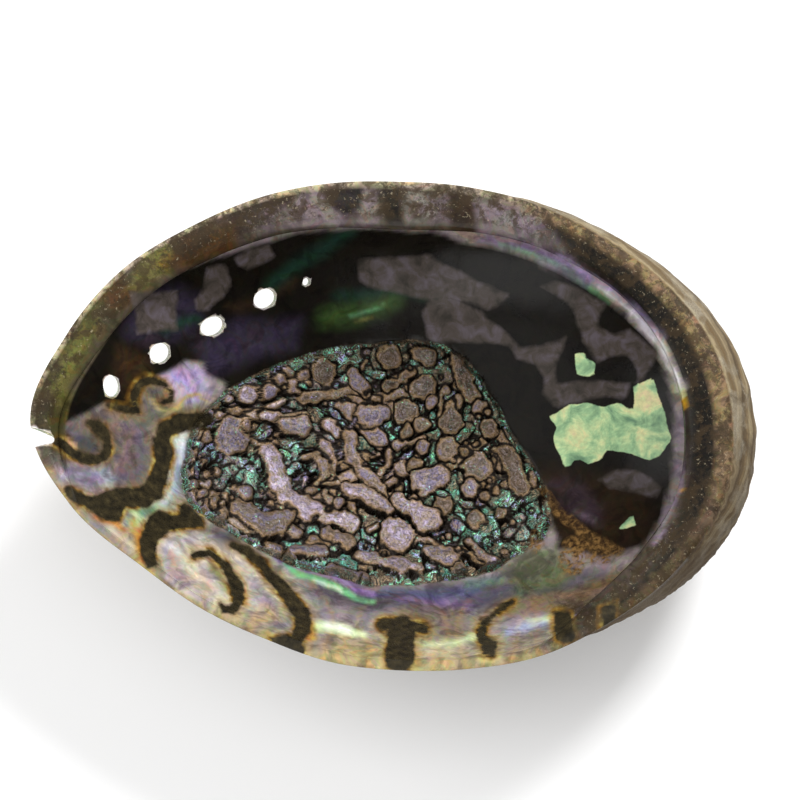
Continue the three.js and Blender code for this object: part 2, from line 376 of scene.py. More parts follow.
smokeAreas = [
    [
        (-34.2, 39.7), (-30.8, 41.6), (-27.0, 42.2), (-26.0, 40.1), (-28.3, 38.4), (-31.2, 37.2),
        (-33.3, 37.8),
    ],
    [
        (-39.4, 37.4), (-36.3, 38.0), (-34.6, 34.7), (-36.3, 31.0), (-39.4, 28.9), (-42.1, 28.4),
        (-42.6, 31.0), (-40.0, 32.6),
    ],
    [
        (-7.8, 38.4), (-3.6, 39.5), (6.9, 39.5), (13.2, 36.3), (17.4, 33.6), (23.7, 31.5), (18.8, 28.8),
        (14.2, 30.0), (10.0, 30.5), (4.8, 30.9), (-3.6, 32.6), (-7.8, 34.7),
    ],
    [
        (5.9, 28.0), (6.9, 30.5), (12.1, 30.7), (16.3, 28.4), (21.6, 25.2), (25.8, 21.0), (17.4, 21.5),
        (6.9, 22.1),
    ],
    [
        (30.6, 33.2), (33.8, 34.7), (37.1, 33.6), (43.5, 29.9), (41.9, 27.3), (42.3, 24.6), (45.6, 22.9),
        (48.8, 24.6), (54.7, 19.2), (53.6, 16.6), (50.4, 13.3), (49.8, 17.1), (47.8, 19.2), (44.5, 18.1),
        (42.3, 17.1), (39.2, 21.4), (38.6, 23.6), (37.5, 25.6), (36.0, 28.8), (33.3, 31.5),
    ],
    [
        (24.2, 20.8), (30.6, 20.8), (34.9, 22.9), (33.3, 17.1), (33.8, 12.9), (42.3, 13.3), (48.8, 12.9),
        (48.8, 10.1), (41.9, 9.6), (32.8, 8.5), (30.6, 10.7), (31.2, 13.3), (29.5, 17.1), (25.3, 18.1),
    ],
    [(42.5, -7.2), (45.7, -5.6), (50.9, -6.0), (55.5, -8.7), (54.0, -11.0), (48.8, -9.8), (44.6, -9.3)],
    [(-55.9, 32.1), (-45.9, 32.6), (-46.3, 24.2), (-53.9, 23.3)],
]
flakeAreas = [
    [
        (31.8, 6.2), (36.0, 8.9), (39.2, 8.5), (43.4, 7.6), (46.7, 9.1), (49.8, 7.8), (50.1, 9.7),
        (49.6, 12.7), (52.6, 13.7), (54.0, 15.0), (54.7, 11.2), (56.3, 6.8), (57.8, 1.1), (55.3, -2.2),
        (52.6, -3.5), (47.8, -1.8), (43.4, -0.8), (42.9, -2.8), (40.8, -4.1), (38.1, -3.1), (36.0, -5.6),
        (33.9, -2.2), (32.7, 0.9), (33.3, 3.6),
    ],
    [(37.1, 19.8), (39.2, 19.2), (39.8, 17.7), (41.7, 17.1), (41.3, 14.3), (37.9, 14.3), (37.5, 16.6)],
    [(49.0, -14.2), (49.8, -16.7), (46.3, -17.5), (47.8, -15.4)],
]
depositStrokes = [
    ([(30.6, -9.8), (34.1, -13.9), (39.4, -18.8), (46.1, -22.5)], 2.2),
    ([(28.9, -20.7)], 3.4),
    ([(36.4, -24.4)], 5.6),
    ([(37.3, -21.5), (42.5, -23.2)], 4.4),
]

# Growths on the scar: chains of (x, y, radius), lowest first
growths = [
    [(16.7, -4.9, 3.35)], [(1.9, 6.6, 2.93)], [(9.8, -13.0, 2.51)], [(-38.4, 8.5, 1.05)],
    [(-35.8, 9.7, 1.05)], [(-31.6, 10.6, 2.1)], [(-27.2, 11.1, 2.1)], [(-22.2, 12.4, 1.89)],
    [(-19.9, 14.8, 1.68)], [(-18.9, 12.9, 1.05)], [(-15.5, 15.6, 3.14)], [(-25.4, 14.0, 1.68)],
    [(-37.2, 5.7, 1.47)], [(-34.8, 2.0, 4.19)], [(-26.2, 0.4, 1.26)],
    [(-23.7, 3.6, 2.1), (-21.0, 3.6, 2.51)], [(4.4, 19.4, 1.68), (6.3, 18.3, 2.1)], [(-1.9, 18.3, 2.72)],
    [(-9.6, 15.8, 1.47), (-8.2, 13.3, 1.89), (-6.5, 11.2, 1.68)], [(-6.5, 6.0, 2.72), (-3.6, 6.2, 2.3)],
    [(5.4, 11.6, 2.93)], [(7.1, 8.9, 1.47)], [(5.0, 3.6, 2.1)], [(1.9, 2.5, 1.68)], [(5.4, -0.9, 1.68)],
    [(12.3, 18.7, 1.47), (13.2, 15.8, 1.89), (14.9, 12.0, 1.89), (16.1, 9.9, 1.68)], [(17.4, 7.7, 1.68)],
    [(19.2, 3.0, 2.1)], [(21.6, -1.4, 1.47), (23.2, -2.6, 1.89), (24.5, -5.6, 2.3), (25.8, -8.9, 2.1)],
    [(11.1, 7.0, 1.89), (11.3, 4.5, 2.51)], [(10.7, -1.4, 2.72)], [(14.2, -2.0, 1.47)],
    [(16.5, -0.1, 1.05)], [(0.8, -5.4, 1.89)], [(3.8, -4.7, 1.68)], [(5.6, -8.1, 2.93), (8.6, -6.8, 2.51)],
    [(15.2, -9.8, 2.1)], [(18.2, -11.2, 1.26)], [(20.8, -10.0, 1.26)], [(16.3, -15.8, 2.3)],
    [(21.8, -15.3, 1.47)], [(23.9, -16.9, 1.05)],
    [(-27.5, -1.0, 1.89), (-25.8, -6.4, 2.1), (-23.9, -11.0, 2.51), (-19.7, -14.2, 2.72),
     (-14.7, -15.6, 2.51), (-9.9, -17.1, 2.3)],
    [(-20.1, -2.8, 1.05), (-17.8, -2.2, 1.26), (-15.7, -3.9, 1.26), (-15.7, -6.6, 1.26),
     (-17.6, -8.7, 1.05)],
    [(-22.4, -6.0, 0.84)],
    [(-10.1, 2.0, 1.68), (-10.1, -2.3, 1.68), (-7.3, -6.0, 1.68), (-4.2, -9.8, 1.68), (-3.2, -13.0, 1.68)],
    [(-10.6, -9.8, 1.68), (-7.3, -10.8, 1.68), (-4.2, -13.0, 1.68), (-2.1, -14.1, 1.47)],
    [(-12.8, -13.0, 1.47)], [(-14.9, -14.1, 0.84)],
    [(-34.0, -13.1, 1.89), (-30.8, -15.6, 2.51), (-27.0, -17.7, 2.93), (-23.7, -15.6, 1.89)],
    [(-32.5, -10.8, 1.68)], [(-36.5, -11.6, 1.26)], [(-41.3, -4.1, 1.05)], [(-38.6, -6.2, 1.05)],
    [(-43.4, -8.9, 1.05)], [(-41.3, -10.8, 1.26)], [(-38.8, -12.5, 1.26)],
    [(-15.1, -19.2, 1.68), (-10.9, -21.3, 1.68)], [(-0.4, -19.4, 3.98)],
    [(0.0, -12.1, 1.68), (3.3, -14.6, 2.3), (6.5, -16.7, 2.72)],
    [(-22.8, -23.2, 1.05), (-19.5, -23.0, 1.26), (-16.1, -23.6, 1.26)],
    [(-14.5, -26.3, 0.84), (-10.3, -27.6, 0.94), (-6.9, -28.2, 0.73)],
    [(-7.8, -24.0, 1.26), (-2.5, -25.3, 1.47), (1.7, -26.1, 1.89), (4.4, -26.5, 1.26)],
    [(6.5, -23.2, 1.89), (10.0, -24.4, 2.1), (12.8, -23.2, 1.47)],
    [(14.9, -21.3, 1.26), (17.4, -23.6, 1.26), (19.9, -25.3, 1.05)],
    [(-41.5, 4.3, 0.52), (-42.5, 1.1, 0.63), (-43.4, -3.1, 0.63), (-43.8, -6.8, 0.63)],
]
relief = {
    "scarStep": 0.5,
    "growthRise": 0.6,
    "growthEdge": 0.7,
    "growthTop": 2.1,
    "grooveDepth": 0.35,
    "grooveWidth": 0.55,
    "edgeRough": 0.1,
    "moatDepth": 0.35,
    "wallRough": 0.08,
}
pebbles = {  # how many, radii, rise, on top or below, lobes, share kept over other growths
    "plates": (230, (1.2, 2.8), 0.24, 0.0, 5),
    "lobes": (95, (0.9, 1.9), 0.36, 1.0, 6),
    "chips": (90, (0.5, 0.9), 0.18, 0.0, 3, 0.1),
    "grains": (75, (0.45, 1.0), 0.3, 1.0, 3, 0.4),
}


def distanceToAll(shapes, areas=()):
    best = np.full(u.shape, 30.0)
    for shape, width in shapes:
        best = np.minimum(best, strokeDistance(uBent, vBent, shape, width))
    for outline in areas:
        best = np.minimum(best, areaDistance(uBent, vBent, outline))
    return best


scarMm = areaDistance(uBent, vBent, scarOutline)
darkMm = distanceToAll(darkStrokes, darkAreas) + 0.35 * noise(u / 5, v / 5, 5)
smokeMm = distanceToAll([], smokeAreas)
flakeMm = distanceToAll([], flakeAreas)
depositMm = distanceToAll(depositStrokes)
print("pattern drawn")

# Relief
random = np.random.default_rng(5)
scarAt = np.nonzero(isInside & (scarMm < 3))
su, sv, sEdge = u[scarAt], v[scarAt], scarMm[scarAt]
sHeight = relief["scarStep"] * smooth(0.3, -0.6, sEdge)
sHeight += relief["edgeRough"] * rough(su / 1.8 + 3, sv / 1.1, 2) * smooth(1, 0, sEdge)
sHeight -= relief["moatDepth"] * np.exp(-((sEdge - 0.5) / 0.4)**2)
sCrevice = np.full(su.shape, 5.0)
sTone, sHere = np.zeros(su.shape), np.zeros(su.shape)

tealZones = [
    (-33.7, -5.6, 5.66), (12.1, 15.4, 2.72), (4.8, 9.9, 2.93), (-20.3, 10.6, 2.93), (-29.8, 8.5, 2.51),
    (9.0, -12.5, 3.35), (-14.0, -20.4, 3.35), (6.9, -20.9, 2.93), (15.3, -15.6, 2.51), (25.8, -17.7, 2.51),
    (-3.6, -5.1, 2.1), (-38.1, 1.1, 2.51), (-10.9, 9.5, 2.1),
]


def addGrowth(chain, rise, here=1.0):
    radius = max(p[2] for p in chain)
    xs, ys = [p[0] for p in chain], [p[1] for p in chain]
    reach = radius + 3
    near = (su > min(xs) - reach) & (su < max(xs) + reach) & (sv > min(ys) - reach) & (sv < max(ys) + reach)
    near = np.flatnonzero(near & (sEdge < 0.3))
    x, y = su[near], sv[near]
    wander = min(1.0, 0.35 + radius / 3)
    d = strokeDistance(x, y, chain)
    d = d + wander * (0.55 * rough(x / 2.4, y / 2.4, 3, 2) + 0.38 * noise(x, y, 4))
    on = d < 0
    if not on.any():
        return
    old = sHeight[near]
    under = old[d < -0.3].mean() if (d < -0.3).any() else old[on].mean()
    top = min(under + rise, relief["growthTop"])
    fall = np.clip(1 + d / relief["growthEdge"], 0, 1)
    wrinkles = 0.06 * rough(x / 0.7, y / 0.7, 1, 2) + 0.03 * np.sin(-d * 9 + 5 * noise(x / 1.5, y / 1.5, 2))
    dome = 0.25 * smooth(0, -radius, d) + 0.14 * rough(x / 1.6, y / 1.6, 5)
    dome = dome + wrinkles * smooth(-0.1, -0.5, d)
    onTop = top + dome - rise * (1 - np.sqrt(np.clip(1 - fall**2, 0, 1)))
    groove = relief["grooveDepth"] * np.clip(1 - d / relief["grooveWidth"], 0, 1)**2 * (0.4 + 0.6 * here)
    sHeight[near] = np.where(on, onTop, old - np.where(d < relief["grooveWidth"], groove, 0))
    sCrevice[near] = np.where(on, -d, np.minimum(sCrevice[near], np.maximum(d, 0)))
    tone = 0.55 * random.random() + 0.45 * smooth(22, -30, x.mean() + 0.8 * y.mean())
    for zx, zy, zr in tealZones:
        if here < 0.5 and math.hypot(chain[0][0] - zx, chain[0][1] - zy) < zr:
            tone = 0.85 + 0.15 * random.random()
    sTone[near] = np.where(on, tone, sTone[near])
    sHere[near] = np.where(on, here, sHere[near])


outlineAt = np.array(scarOutline)
lowest, highest = outlineAt.min(0), outlineAt.max(0)


def somewhereOnScar():
    while True:
        x, y = lowest + (highest - lowest) * random.random(2)
        if areaDistance(np.array([x]), np.array([y]), scarOutline)[0] < -0.5:
            return x, y, np.argmin((su - x)**2 + (sv - y)**2)


def inTeal(x, y):
    return any(math.hypot(x - zx, y - zy) < zr for zx, zy, zr in tealZones)


def scatter(many, radii, rise, here, lobes=1, cover=1.0):
    for _ in range(many):
        x, y, at = somewhereOnScar()
        radius = radii[0] + (radii[1] - radii[0]) * random.random()**1.5
        way = random.random() * 2 * math.pi
        chain = [(x, y, radius)]
        for _ in range(random.integers(lobes)):  # a lobed plate grows by wandering steps
            way += 1.6 * (random.random() - 0.5)
            step = radius * (1.0 + random.random())
            x, y = x + step * math.cos(way), y + step * math.sin(way)
            chain.append((x, y, radius * (0.6 + 0.6 * random.random())))
        if sHere[at] and (sCrevice[at] > 0.7 or random.random() > cover):
            continue
        if here and inTeal(chain[0][0], chain[0][1]) and random.random() < 0.75:
            continue
        addGrowth(chain, rise, here)


scatter(*pebbles["plates"])
scatter(*pebbles["lobes"])
for chain in growths:
    addGrowth(chain, relief["growthRise"] * (0.8 + 0.4 * random.random()))
scatter(*pebbles["chips"])
scatter(*pebbles["grains"])
height = np.zeros(u.shape)
creviceMm, growthTone, growthHere = np.full(u.shape, 5.0), np.zeros(u.shape), np.zeros(u.shape)
for grid, values in ((height, sHeight), (creviceMm, sCrevice), (growthTone, sTone), (growthHere, sHere)):
    grid[scarAt] = values
print("growths raised")

height[0] = height[1].mean()
detail = np.where(rowOf <= wallEnd, relief["wallRough"] * rough(u / 9, v / 9, 6), 0.0)
shaped = points + normals * (height + detail)[..., None]

# Outside: growth lines and cords
outsideForm = {"lines": 0.13, "fineLines": 0.05, "cords": 0.1, "rough": 0.12, "sunk": 0.35, "softness": 3.0}
rimPoints = points[rimRow, ::4]
outPoints = points[rimRow:]
apexAt = np.array([form["apex"][0] + move[0], form["apex"][1] + move[1], 0.0])
toRim = np.linalg.norm(outPoints[:, :, None, :] - rimPoints[None, None], axis=-1)
softness = outsideForm["softness"]
nearest = toRim.min(-1)
rimMm = nearest - softness * np.log(np.exp(-(toRim - nearest[..., None]) / softness).sum(-1))
rimMm = rimMm - rimMm[0].mean()
rimMm = np.maximum(rimMm, 0) * smooth(0, 6, nearest) + nearest * (1 - smooth(0, 6, nearest))
toApex = np.hypot(outPoints[..., 0] - apexAt[0], outPoints[..., 1] - apexAt[1])
growth = rimMm / (rimMm + toApex + 1e-6)
bearing = np.arctan2(outPoints[..., 1] - apexAt[1], outPoints[..., 0] - apexAt[0])
outX, outY, outZ = np.moveaxis(outPoints, -1, 0)
growthLine = growth + 0.012 * rough(outX / 14, outY / 14 + outZ / 9, 2)
lines = outsideForm["lines"] * np.sin(growthLine * 130)
lines = lines + outsideForm["fineLines"] * np.sin(growthLine * 300 + 1)
cords = outsideForm["cords"] * np.sin(bearing * 34 + 4 * growth)
unevenness = outsideForm["rough"] * rough(outX / 6, (outY + outZ) / 6, 1)
outHeight = lines + cords + unevenness - outsideForm["sunk"]
fade = smooth(0, 3, np.arange(outPoints.shape[0]))[:, None]
shaped[rimRow:] += normals[rimRow:] * (outHeight * fade)[..., None]
sideNow = np.zeros(u.shape)
sideNow[rimRow + 1:] = 1
growthAll = np.zeros(u.shape)
growthAll[rimRow:] = growthLine

shaped = np.clip(shaped, low, high)

# Hue of the nacre, brushed on in soft strokes
tones = {
    "silver": (0.36, 0.34, 0.36), "pearl": (0.62, 0.58, 0.56), "lilac": (0.36, 0.32, 0.44),
    "greyLilac": (0.17, 0.15, 0.18), "brightLilac": (0.55, 0.48, 0.9), "blueWhite": (0.5, 0.62, 0.85),
    "white": (0.92, 0.92, 0.95), "pinkWhite": (0.9, 0.62, 0.48), "pinkTan": (0.36, 0.26, 0.2),
    "cream": (0.5, 0.44, 0.24), "creamWhite": (0.75, 0.7, 0.52), "paleGreen": (0.72, 0.88, 0.52),
    "green": (0.2, 0.62, 0.32), "darkGreen": (0.05, 0.11, 0.03), "yellowGreen": (0.24, 0.25, 0.07),
    "teal": (0.16, 0.42, 0.34), "deepTeal": (0.012, 0.05, 0.035), "blue": (0.12, 0.16, 0.42),
    "slate": (0.07, 0.07, 0.1), "violet": (0.3, 0.2, 0.55), "deepViolet": (0.035, 0.03, 0.06),
    "dark": (0.008, 0.007, 0.005), "umber": (0.045, 0.028, 0.014), "brown": (0.11, 0.06, 0.02),
    "olive": (0.11, 0.105, 0.04), "grey": (0.12, 0.105, 0.09), "ledgeLilac": (0.3, 0.27, 0.29),
    "amber": (0.55, 0.33, 0.03), "orange": (0.5, 0.16, 0.03), "tan": (0.24, 0.18, 0.1),
    "paleTan": (0.27, 0.2, 0.11), "scar": (0.06, 0.06, 0.05), "greenGrey": (0.12, 0.15, 0.09),
}
hue = np.zeros(u.shape + (3,)) + tones["silver"]


def tint(tone, mask):
    global hue
    mask = mask[..., None]
    hue = hue * (1 - mask) + np.array(tones[tone]) * mask


def brush(tone, distance, soft=1.0, strength=1.0):
    tint(tone, strength * smooth(soft, -soft, distance))


def area(tone, outline, soft=1.0, strength=1.0):
    brush(tone, areaDistance(uBent, vBent, outline), soft, strength)


def stroke(tone, points, width=None, soft=0.8, strength=1.0):
    brush(tone, strokeDistance(uBent, vBent, points, width), soft, strength)


turns = np.arange(mesh["segments"]) / mesh["segments"]
ledgeHere = smooth(2, 5, readAround(form["ledgeWidth"], turns))[None, :]
onLedge = smooth(wallEnd - 1, wallEnd + 1.5, rowOf) * ledgeHere
fromMiddle = np.hypot(points[..., 0] - move[0], points[..., 1] - move[1])
ledgeWide = np.maximum(readAround(form["ledgeWidth"], turns), form["lipWidth"])
fromRim = readAround(form["rimRadius"], turns) - fromMiddle
acrossLedge = np.clip(1 - fromRim / ledgeWide, 0, 1)  # 1 at the rim, 0 at the free edge

# tip and lower left
area("greyLilac", [
    (-71.7, 4.3), (-62.2, 8.5), (-51.8, 5.3), (-50.7, -3.1), (-51.8, -9.8), (-62.2, -11.4), (-70.2, -5.6),
], 2)
stroke("pinkTan", [(-58.9, 4.9), (-56.6, 1.6), (-57.2, -3.1), (-60.1, -5.6)], 1.2, 0.9, 0.7)
stroke("pinkTan", [(-60.1, 7.0), (-56.4, 5.3), (-54.7, 3.2)], 1.0, 0.7, 0.5)
area("lilac", [(-71.5, -4.7), (-67.5, -3.1), (-60.3, -5.1), (-59.7, -9.8), (-66.4, -9.8)], 1.2)
area("slate", [(-66.8, 2.2), (-62.7, 2.4), (-61.4, -0.5), (-63.9, -2.2), (-68.1, -1.0)], 1.0, 0.9)
stroke("blueWhite", [(-65.2, -5.1), (-61.4, -5.1), (-59.7, -7.2)], 1.5, 1.2, 0.35)
stroke("brown", [(-73.1, 4.3), (-70.6, 2.8), (-68.5, 1.1)], 2.2, 0.8, 0.9)
# painted highlight: a pink-white glare at the tip
stroke("pinkWhite", [(-70.2, 0.9), (-67.5, -0.1)], 1.2, 0.7, 0.8)
stroke("orange", [(-60.6, 3.2), (-59.3, 1.1)], 0.6, 0.6, 0.4)
stroke("grey", [(-75.2, 1.1), (-72.3, -2.0)], 2.5, 1.0, 0.6)
# between the dark band and the scar
# blue-white nacre beside the scar, partly a painted sheen; the white line down it is a painted highlight
area("blueWhite", [
    (-47.2, 3.6), (-43.8, 4.5), (-44.2, -5.1), (-45.9, -9.8), (-49.7, -12.7), (-51.8, -12.1), (-48.4, -8.9),
    (-47.4, -3.1),
], 1.0, 0.85)
stroke("white", [(-45.5, 2.4), (-45.3, -3.5)], 1.0, 0.8, 0.6)
stroke("teal", [(-51.8, -13.1), (-54.5, -13.5), (-55.7, -15.4)], 2.4, 1.2, 0.8)
stroke("paleGreen", [(-55.1, -14.4), (-55.7, -17.1)], 1.5, 0.9)
stroke("cream", [(-59.7, -16.5), (-57.2, -19.4), (-54.7, -23.2)], 2.4, 1.4, 0.9)
stroke("slate", [
    (-42.1, -17.7), (-35.4, -19.4), (-30.4, -23.2), (-24.1, -30.7), (-22.0, -34.9),
], 3.0, 1.8, 0.8)
# silver oval
area("pearl", [
    (-51.1, -21.1), (-47.2, -18.1), (-38.8, -19.0), (-30.4, -24.0), (-23.7, -30.3), (-23.7, -35.7),
    (-28.3, -38.7), (-36.0, -35.7), (-43.4, -32.4), (-49.0, -27.8),
], 1.4, 0.9)
stroke("lilac", [(-48.4, -21.5), (-47.2, -25.3), (-44.2, -28.2)], 2.4, 1.6, 0.5)
# painted highlight in the silver oval
stroke("white", [(-48.0, -20.9), (-45.5, -22.3)], 1.2, 1.0, 0.6)
stroke("creamWhite", [(-43.4, -25.3), (-40.0, -29.0), (-38.4, -31.5)], 3.0, 1.4, 0.6)
stroke("cream", [(-32.9, -36.2), (-28.3, -37.0), (-25.4, -34.9)], 3.6, 1.6, 0.7)
stroke("lilac", [(-30.8, -30.3), (-28.3, -32.4), (-26.2, -33.6)], 1.6, 1.2, 0.6)
stroke("yellowGreen", [(-38.8, -25.3), (-35.8, -29.9)], 1.2, 0.8, 0.8)
# by the holes
area("grey", [
    (-54.7, 10.4), (-48.6, 8.7), (-41.3, 8.5), (-40.2, 5.3), (-47.6, 4.1), (-53.9, 4.5),
], 1.4, 0.7)
# painted highlight beside the holes: a bright lilac patch and a pale cream streak
area("brightLilac", [
    (-49.7, 15.0), (-44.4, 17.3), (-40.7, 15.8), (-39.6, 11.2), (-43.4, 9.1), (-46.3, 9.5),
], 1.6, 0.85)
stroke("cream", [
    (-51.8, 10.8), (-50.4, 8.0), (-48.8, 7.2), (-46.4, 8.0), (-44.2, 10.4), (-42.1, 11.0), (-39.7, 8.9),
], 0.9, 0.45, 1)
area("brown", [
    (-61.4, 16.2), (-51.8, 17.1), (-49.7, 14.1), (-53.4, 12.0), (-54.3, 6.6), (-60.1, 7.4),
], 1.2, 0.9)
area("slate", [(-51.8, 12.7), (-49.2, 12.9), (-48.0, 11.2), (-49.7, 9.5), (-51.8, 10.4)], 0.6, 0.7)
stroke("orange", [(-60.6, 9.1), (-56.4, 7.8), (-55.5, 10.4), (-54.5, 13.1)], 0.8, 0.6, 0.6)
stroke("orange", [(-48.4, 12.0), (-48.8, 9.5)], 0.5, 0.5, 0.5)

# warm flashes by the dark layers
stroke("amber", [(-55.5, -15.0), (-55.7, -18.1)], 1.2, 1.0, 0.9)
stroke("orange", [(-63.1, -14.8), (-59.7, -16.0), (-57.6, -17.7)], 1.0, 0.8, 0.9)
stroke("creamWhite", [(-60.6, -17.3), (-57.6, -19.8), (-55.1, -22.3)], 1.4, 1.0, 0.8)
stroke("orange", [(-54.3, -17.7), (-54.1, -21.5), (-53.2, -24.4)], 1.4, 1.0, 0.95)
stroke("amber", [(-54.9, -18.8), (-54.7, -21.9)], 0.9, 0.8, 0.8)
stroke("amber", [(-46.7, -2.2), (-46.5, -6.8), (-47.6, -9.3)], 0.6, 0.5, 0.7)
stroke("paleGreen", [(-55.9, -13.1), (-53.4, -15.6)], 1.0, 0.8, 0.7)
stroke("cream", [
    (-51.8, -26.9), (-47.2, -30.3), (-41.3, -34.1), (-32.9, -37.8), (-24.5, -41.2),
], 1.6, 1.0, 0.7)
stroke("orange", [(-32.1, -30.7), (-31.6, -33.2)], 1.0, 0.8, 0.7)

# band below the scar
area("slate", [
    (-22.0, -24.0), (-12.0, -29.2), (4.8, -29.2), (27.9, -26.1), (34.1, -24.0), (50.9, -28.2),
    (42.5, -32.4), (21.6, -34.9), (-3.6, -34.9), (-16.1, -32.4),
], 2.5, 0.9)
area("tan", [(1.7, -33.6), (14.2, -33.6), (17.4, -40.8), (6.9, -40.8), (0.6, -38.7)], 3, 0.6)
area("cream", [
    (-20.3, -40.8), (-12.0, -39.7), (17.4, -41.8), (34.1, -40.8), (34.1, -49.1), (-20.3, -49.1),
], 4, 0.9)
area("greenGrey", [
    (22.6, -26.5), (25.8, -21.5), (34.1, -20.9), (36.7, -26.1), (34.1, -30.3), (25.8, -31.5),
], 2, 0.9)
stroke("violet", [
    (-25.6, -23.2, 0.63), (-20.3, -25.3, 0.63), (-14.5, -26.9, 0.84), (-8.8, -29.5, 0.84),
    (-5.3, -30.7, 0.63),
], None, 0.8, 0.8)
stroke("brightLilac", [(-21.2, -24.6, 0.42), (-14.0, -26.7, 0.42)], None, 0.6, 0.7)
stroke("green", [
    (-23.7, -24.4, 0.42), (-21.2, -26.5, 0.63), (-15.9, -28.6, 0.63), (-9.5, -31.3, 0.63),
    (-5.3, -32.4, 0.42),
], None, 0.5)
# painted highlight: a thin white line along the green band
stroke("white", [(-17.8, -28.2, 0.21), (-12.0, -30.5, 0.31)], None, 0.5, 0.6)
stroke("blue", [(-3.6, -30.7, 0.84), (6.9, -31.5, 1.05), (17.4, -30.7, 0.84)], None, 1.4, 0.5)
stroke("teal", [(15.3, -29.0, 0.63), (21.6, -27.8, 0.63)], None, 1.4, 0.5)
stroke("violet", [(0.6, -32.4, 0.63), (15.3, -33.2, 0.63)], None, 1.2, 0.5)
# painted highlight: a bright white and pale green streak on the lower band
stroke("paleGreen", [(-16.8, -37.4, 0.84), (-12.0, -38.3, 1.26), (-7.3, -39.5, 0.84)], None, 0.9)
stroke("white", [(-15.3, -37.4, 0.42), (-10.3, -38.7, 0.63)], None, 0.9, 0.7)
stroke("orange", [(-19.5, -38.7, 0.63), (-18.4, -40.3, 0.42)], None, 0.7, 0.9)
stroke("amber", [(-18.2, -37.0, 0.63), (-17.6, -39.9, 0.63)], None, 0.7, 0.8)
# painted highlights: pale green, cream-white and blue-white streaks on the lower band
stroke("paleGreen", [(5.9, -41.8, 0.63), (11.1, -41.4, 0.84), (16.5, -39.9, 0.84)], None, 1.0, 0.85)
stroke("creamWhite", [(5.9, -43.3, 1.05), (15.3, -42.9, 0.84)], None, 1.3, 0.7)
stroke("blueWhite", [(23.0, -39.1, 0.63), (27.9, -37.8, 1.05), (32.0, -36.8, 0.63)], None, 1.0, 0.9)
stroke("paleGreen", [(27.9, -37.0, 0.42), (32.0, -36.2, 0.63)], None, 0.8, 0.7)
stroke("amber", [(32.7, -35.7, 0.52), (32.9, -38.3, 0.52)], None, 0.6, 0.9)
stroke("amber", [(17.0, -40.8, 0.42), (18.2, -43.3, 0.42)], None, 0.6, 0.8)
area("tan", [
    (22.6, -32.4), (34.1, -30.7), (46.7, -26.5), (55.1, -21.5), (57.6, -24.0), (46.7, -32.4), (34.1, -34.9),
    (23.2, -36.2),
], 1.2, 0.75)
area("umber", [
    (34.1, -33.6), (46.7, -31.5), (59.3, -24.0), (63.5, -26.1), (50.9, -40.8), (34.1, -45.0),
], 2.0, 0.85)
# painted highlight: a small silver and lilac gleam
stroke("silver", [(37.7, -37.0, 0.84), (40.8, -35.3, 1.05), (42.5, -34.1, 0.63)], None, 0.9, 0.9)
stroke("brightLilac", [(37.9, -35.7, 0.42), (39.6, -34.9, 0.42)], None, 0.6, 0.8)

# painted shade: the deep wall under the ledge, painted near-black, partly over its own dark layers
area("dark", darkShadedWall, 0.7)
area("deepViolet", [
    (-57.0, 32.1), (-45.5, 33.6), (-41.3, 30.5), (-41.3, 24.2), (-51.8, 21.0), (-56.4, 23.1),
], 3, 0.9)
stroke("deepTeal", [(-48.6, 24.2, 0.84), (-45.5, 25.9, 0.84), (-42.1, 26.7, 0.63)], None, 1.6)
area("deepViolet", [
    (-42.1, 21.0), (-32.9, 26.3), (-20.3, 26.7), (-21.2, 21.0), (-30.8, 18.3), (-38.8, 14.8),
], 2.5)
area("umber", [(-58.0, 21.0), (-51.8, 17.9), (-51.8, 11.2), (-56.4, 10.4), (-59.7, 13.7)], 2, 0.9)
stroke("umber", [(-35.0, 28.4, 0.63), (-28.7, 30.5, 0.84), (-22.4, 34.2, 0.84)], None, 1.8, 0.7)
stroke("deepTeal", [(-26.6, 33.8, 1.05), (-20.3, 38.4, 1.26), (-10.1, 44.5, 1.05)], None, 2)
stroke("darkGreen", [(-14.9, 26.7, 1.68), (-7.8, 28.0, 2.1), (-0.4, 30.5, 1.89)], None, 2.4, 0.9)
# painted glints: thin green and yellow-green lines on the dark wall
stroke("green", [(-9.4, 27.1, 0.25), (-6.5, 28.2, 0.34), (-2.7, 29.4, 0.25)], None, 0.5, 0.5)
stroke("yellowGreen", [(-8.6, 26.3, 0.21), (-5.3, 27.1, 0.29)], None, 0.5, 0.8)
stroke("deepTeal", [(-12.0, 31.3, 0.84), (0.6, 32.6, 1.05), (9.0, 31.3, 0.84)], None, 1.6, 0.9)
area("deepViolet", [(31.2, -7.7), (38.3, -7.2), (42.5, -12.5), (42.5, -17.7), (36.2, -14.6)], 1.6)
# painted highlight: a small lilac gleam in the violet patch
stroke("lilac", [(37.3, -13.9, 0.31), (40.8, -16.0, 0.52)], None, 0.9, 0.6)
area("umber", [
    (25.8, -5.1), (34.1, -5.1), (55.1, -7.2), (53.0, -19.8), (44.6, -24.0), (34.1, -20.9),
], 3, 0.5)
area("scar", scarOutline, 0.8)
brush("umber", np.abs(scarMm - 0.2) - 0.4, 0.5, 0.85)
# painted highlight: a white line along the thin ridge at the scar's left edge
stroke("white", [(-41.1, 4.5), (-42.1, 1.1), (-43.0, -3.5), (-43.4, -7.7)], 0.9, 0.5, 0.8)

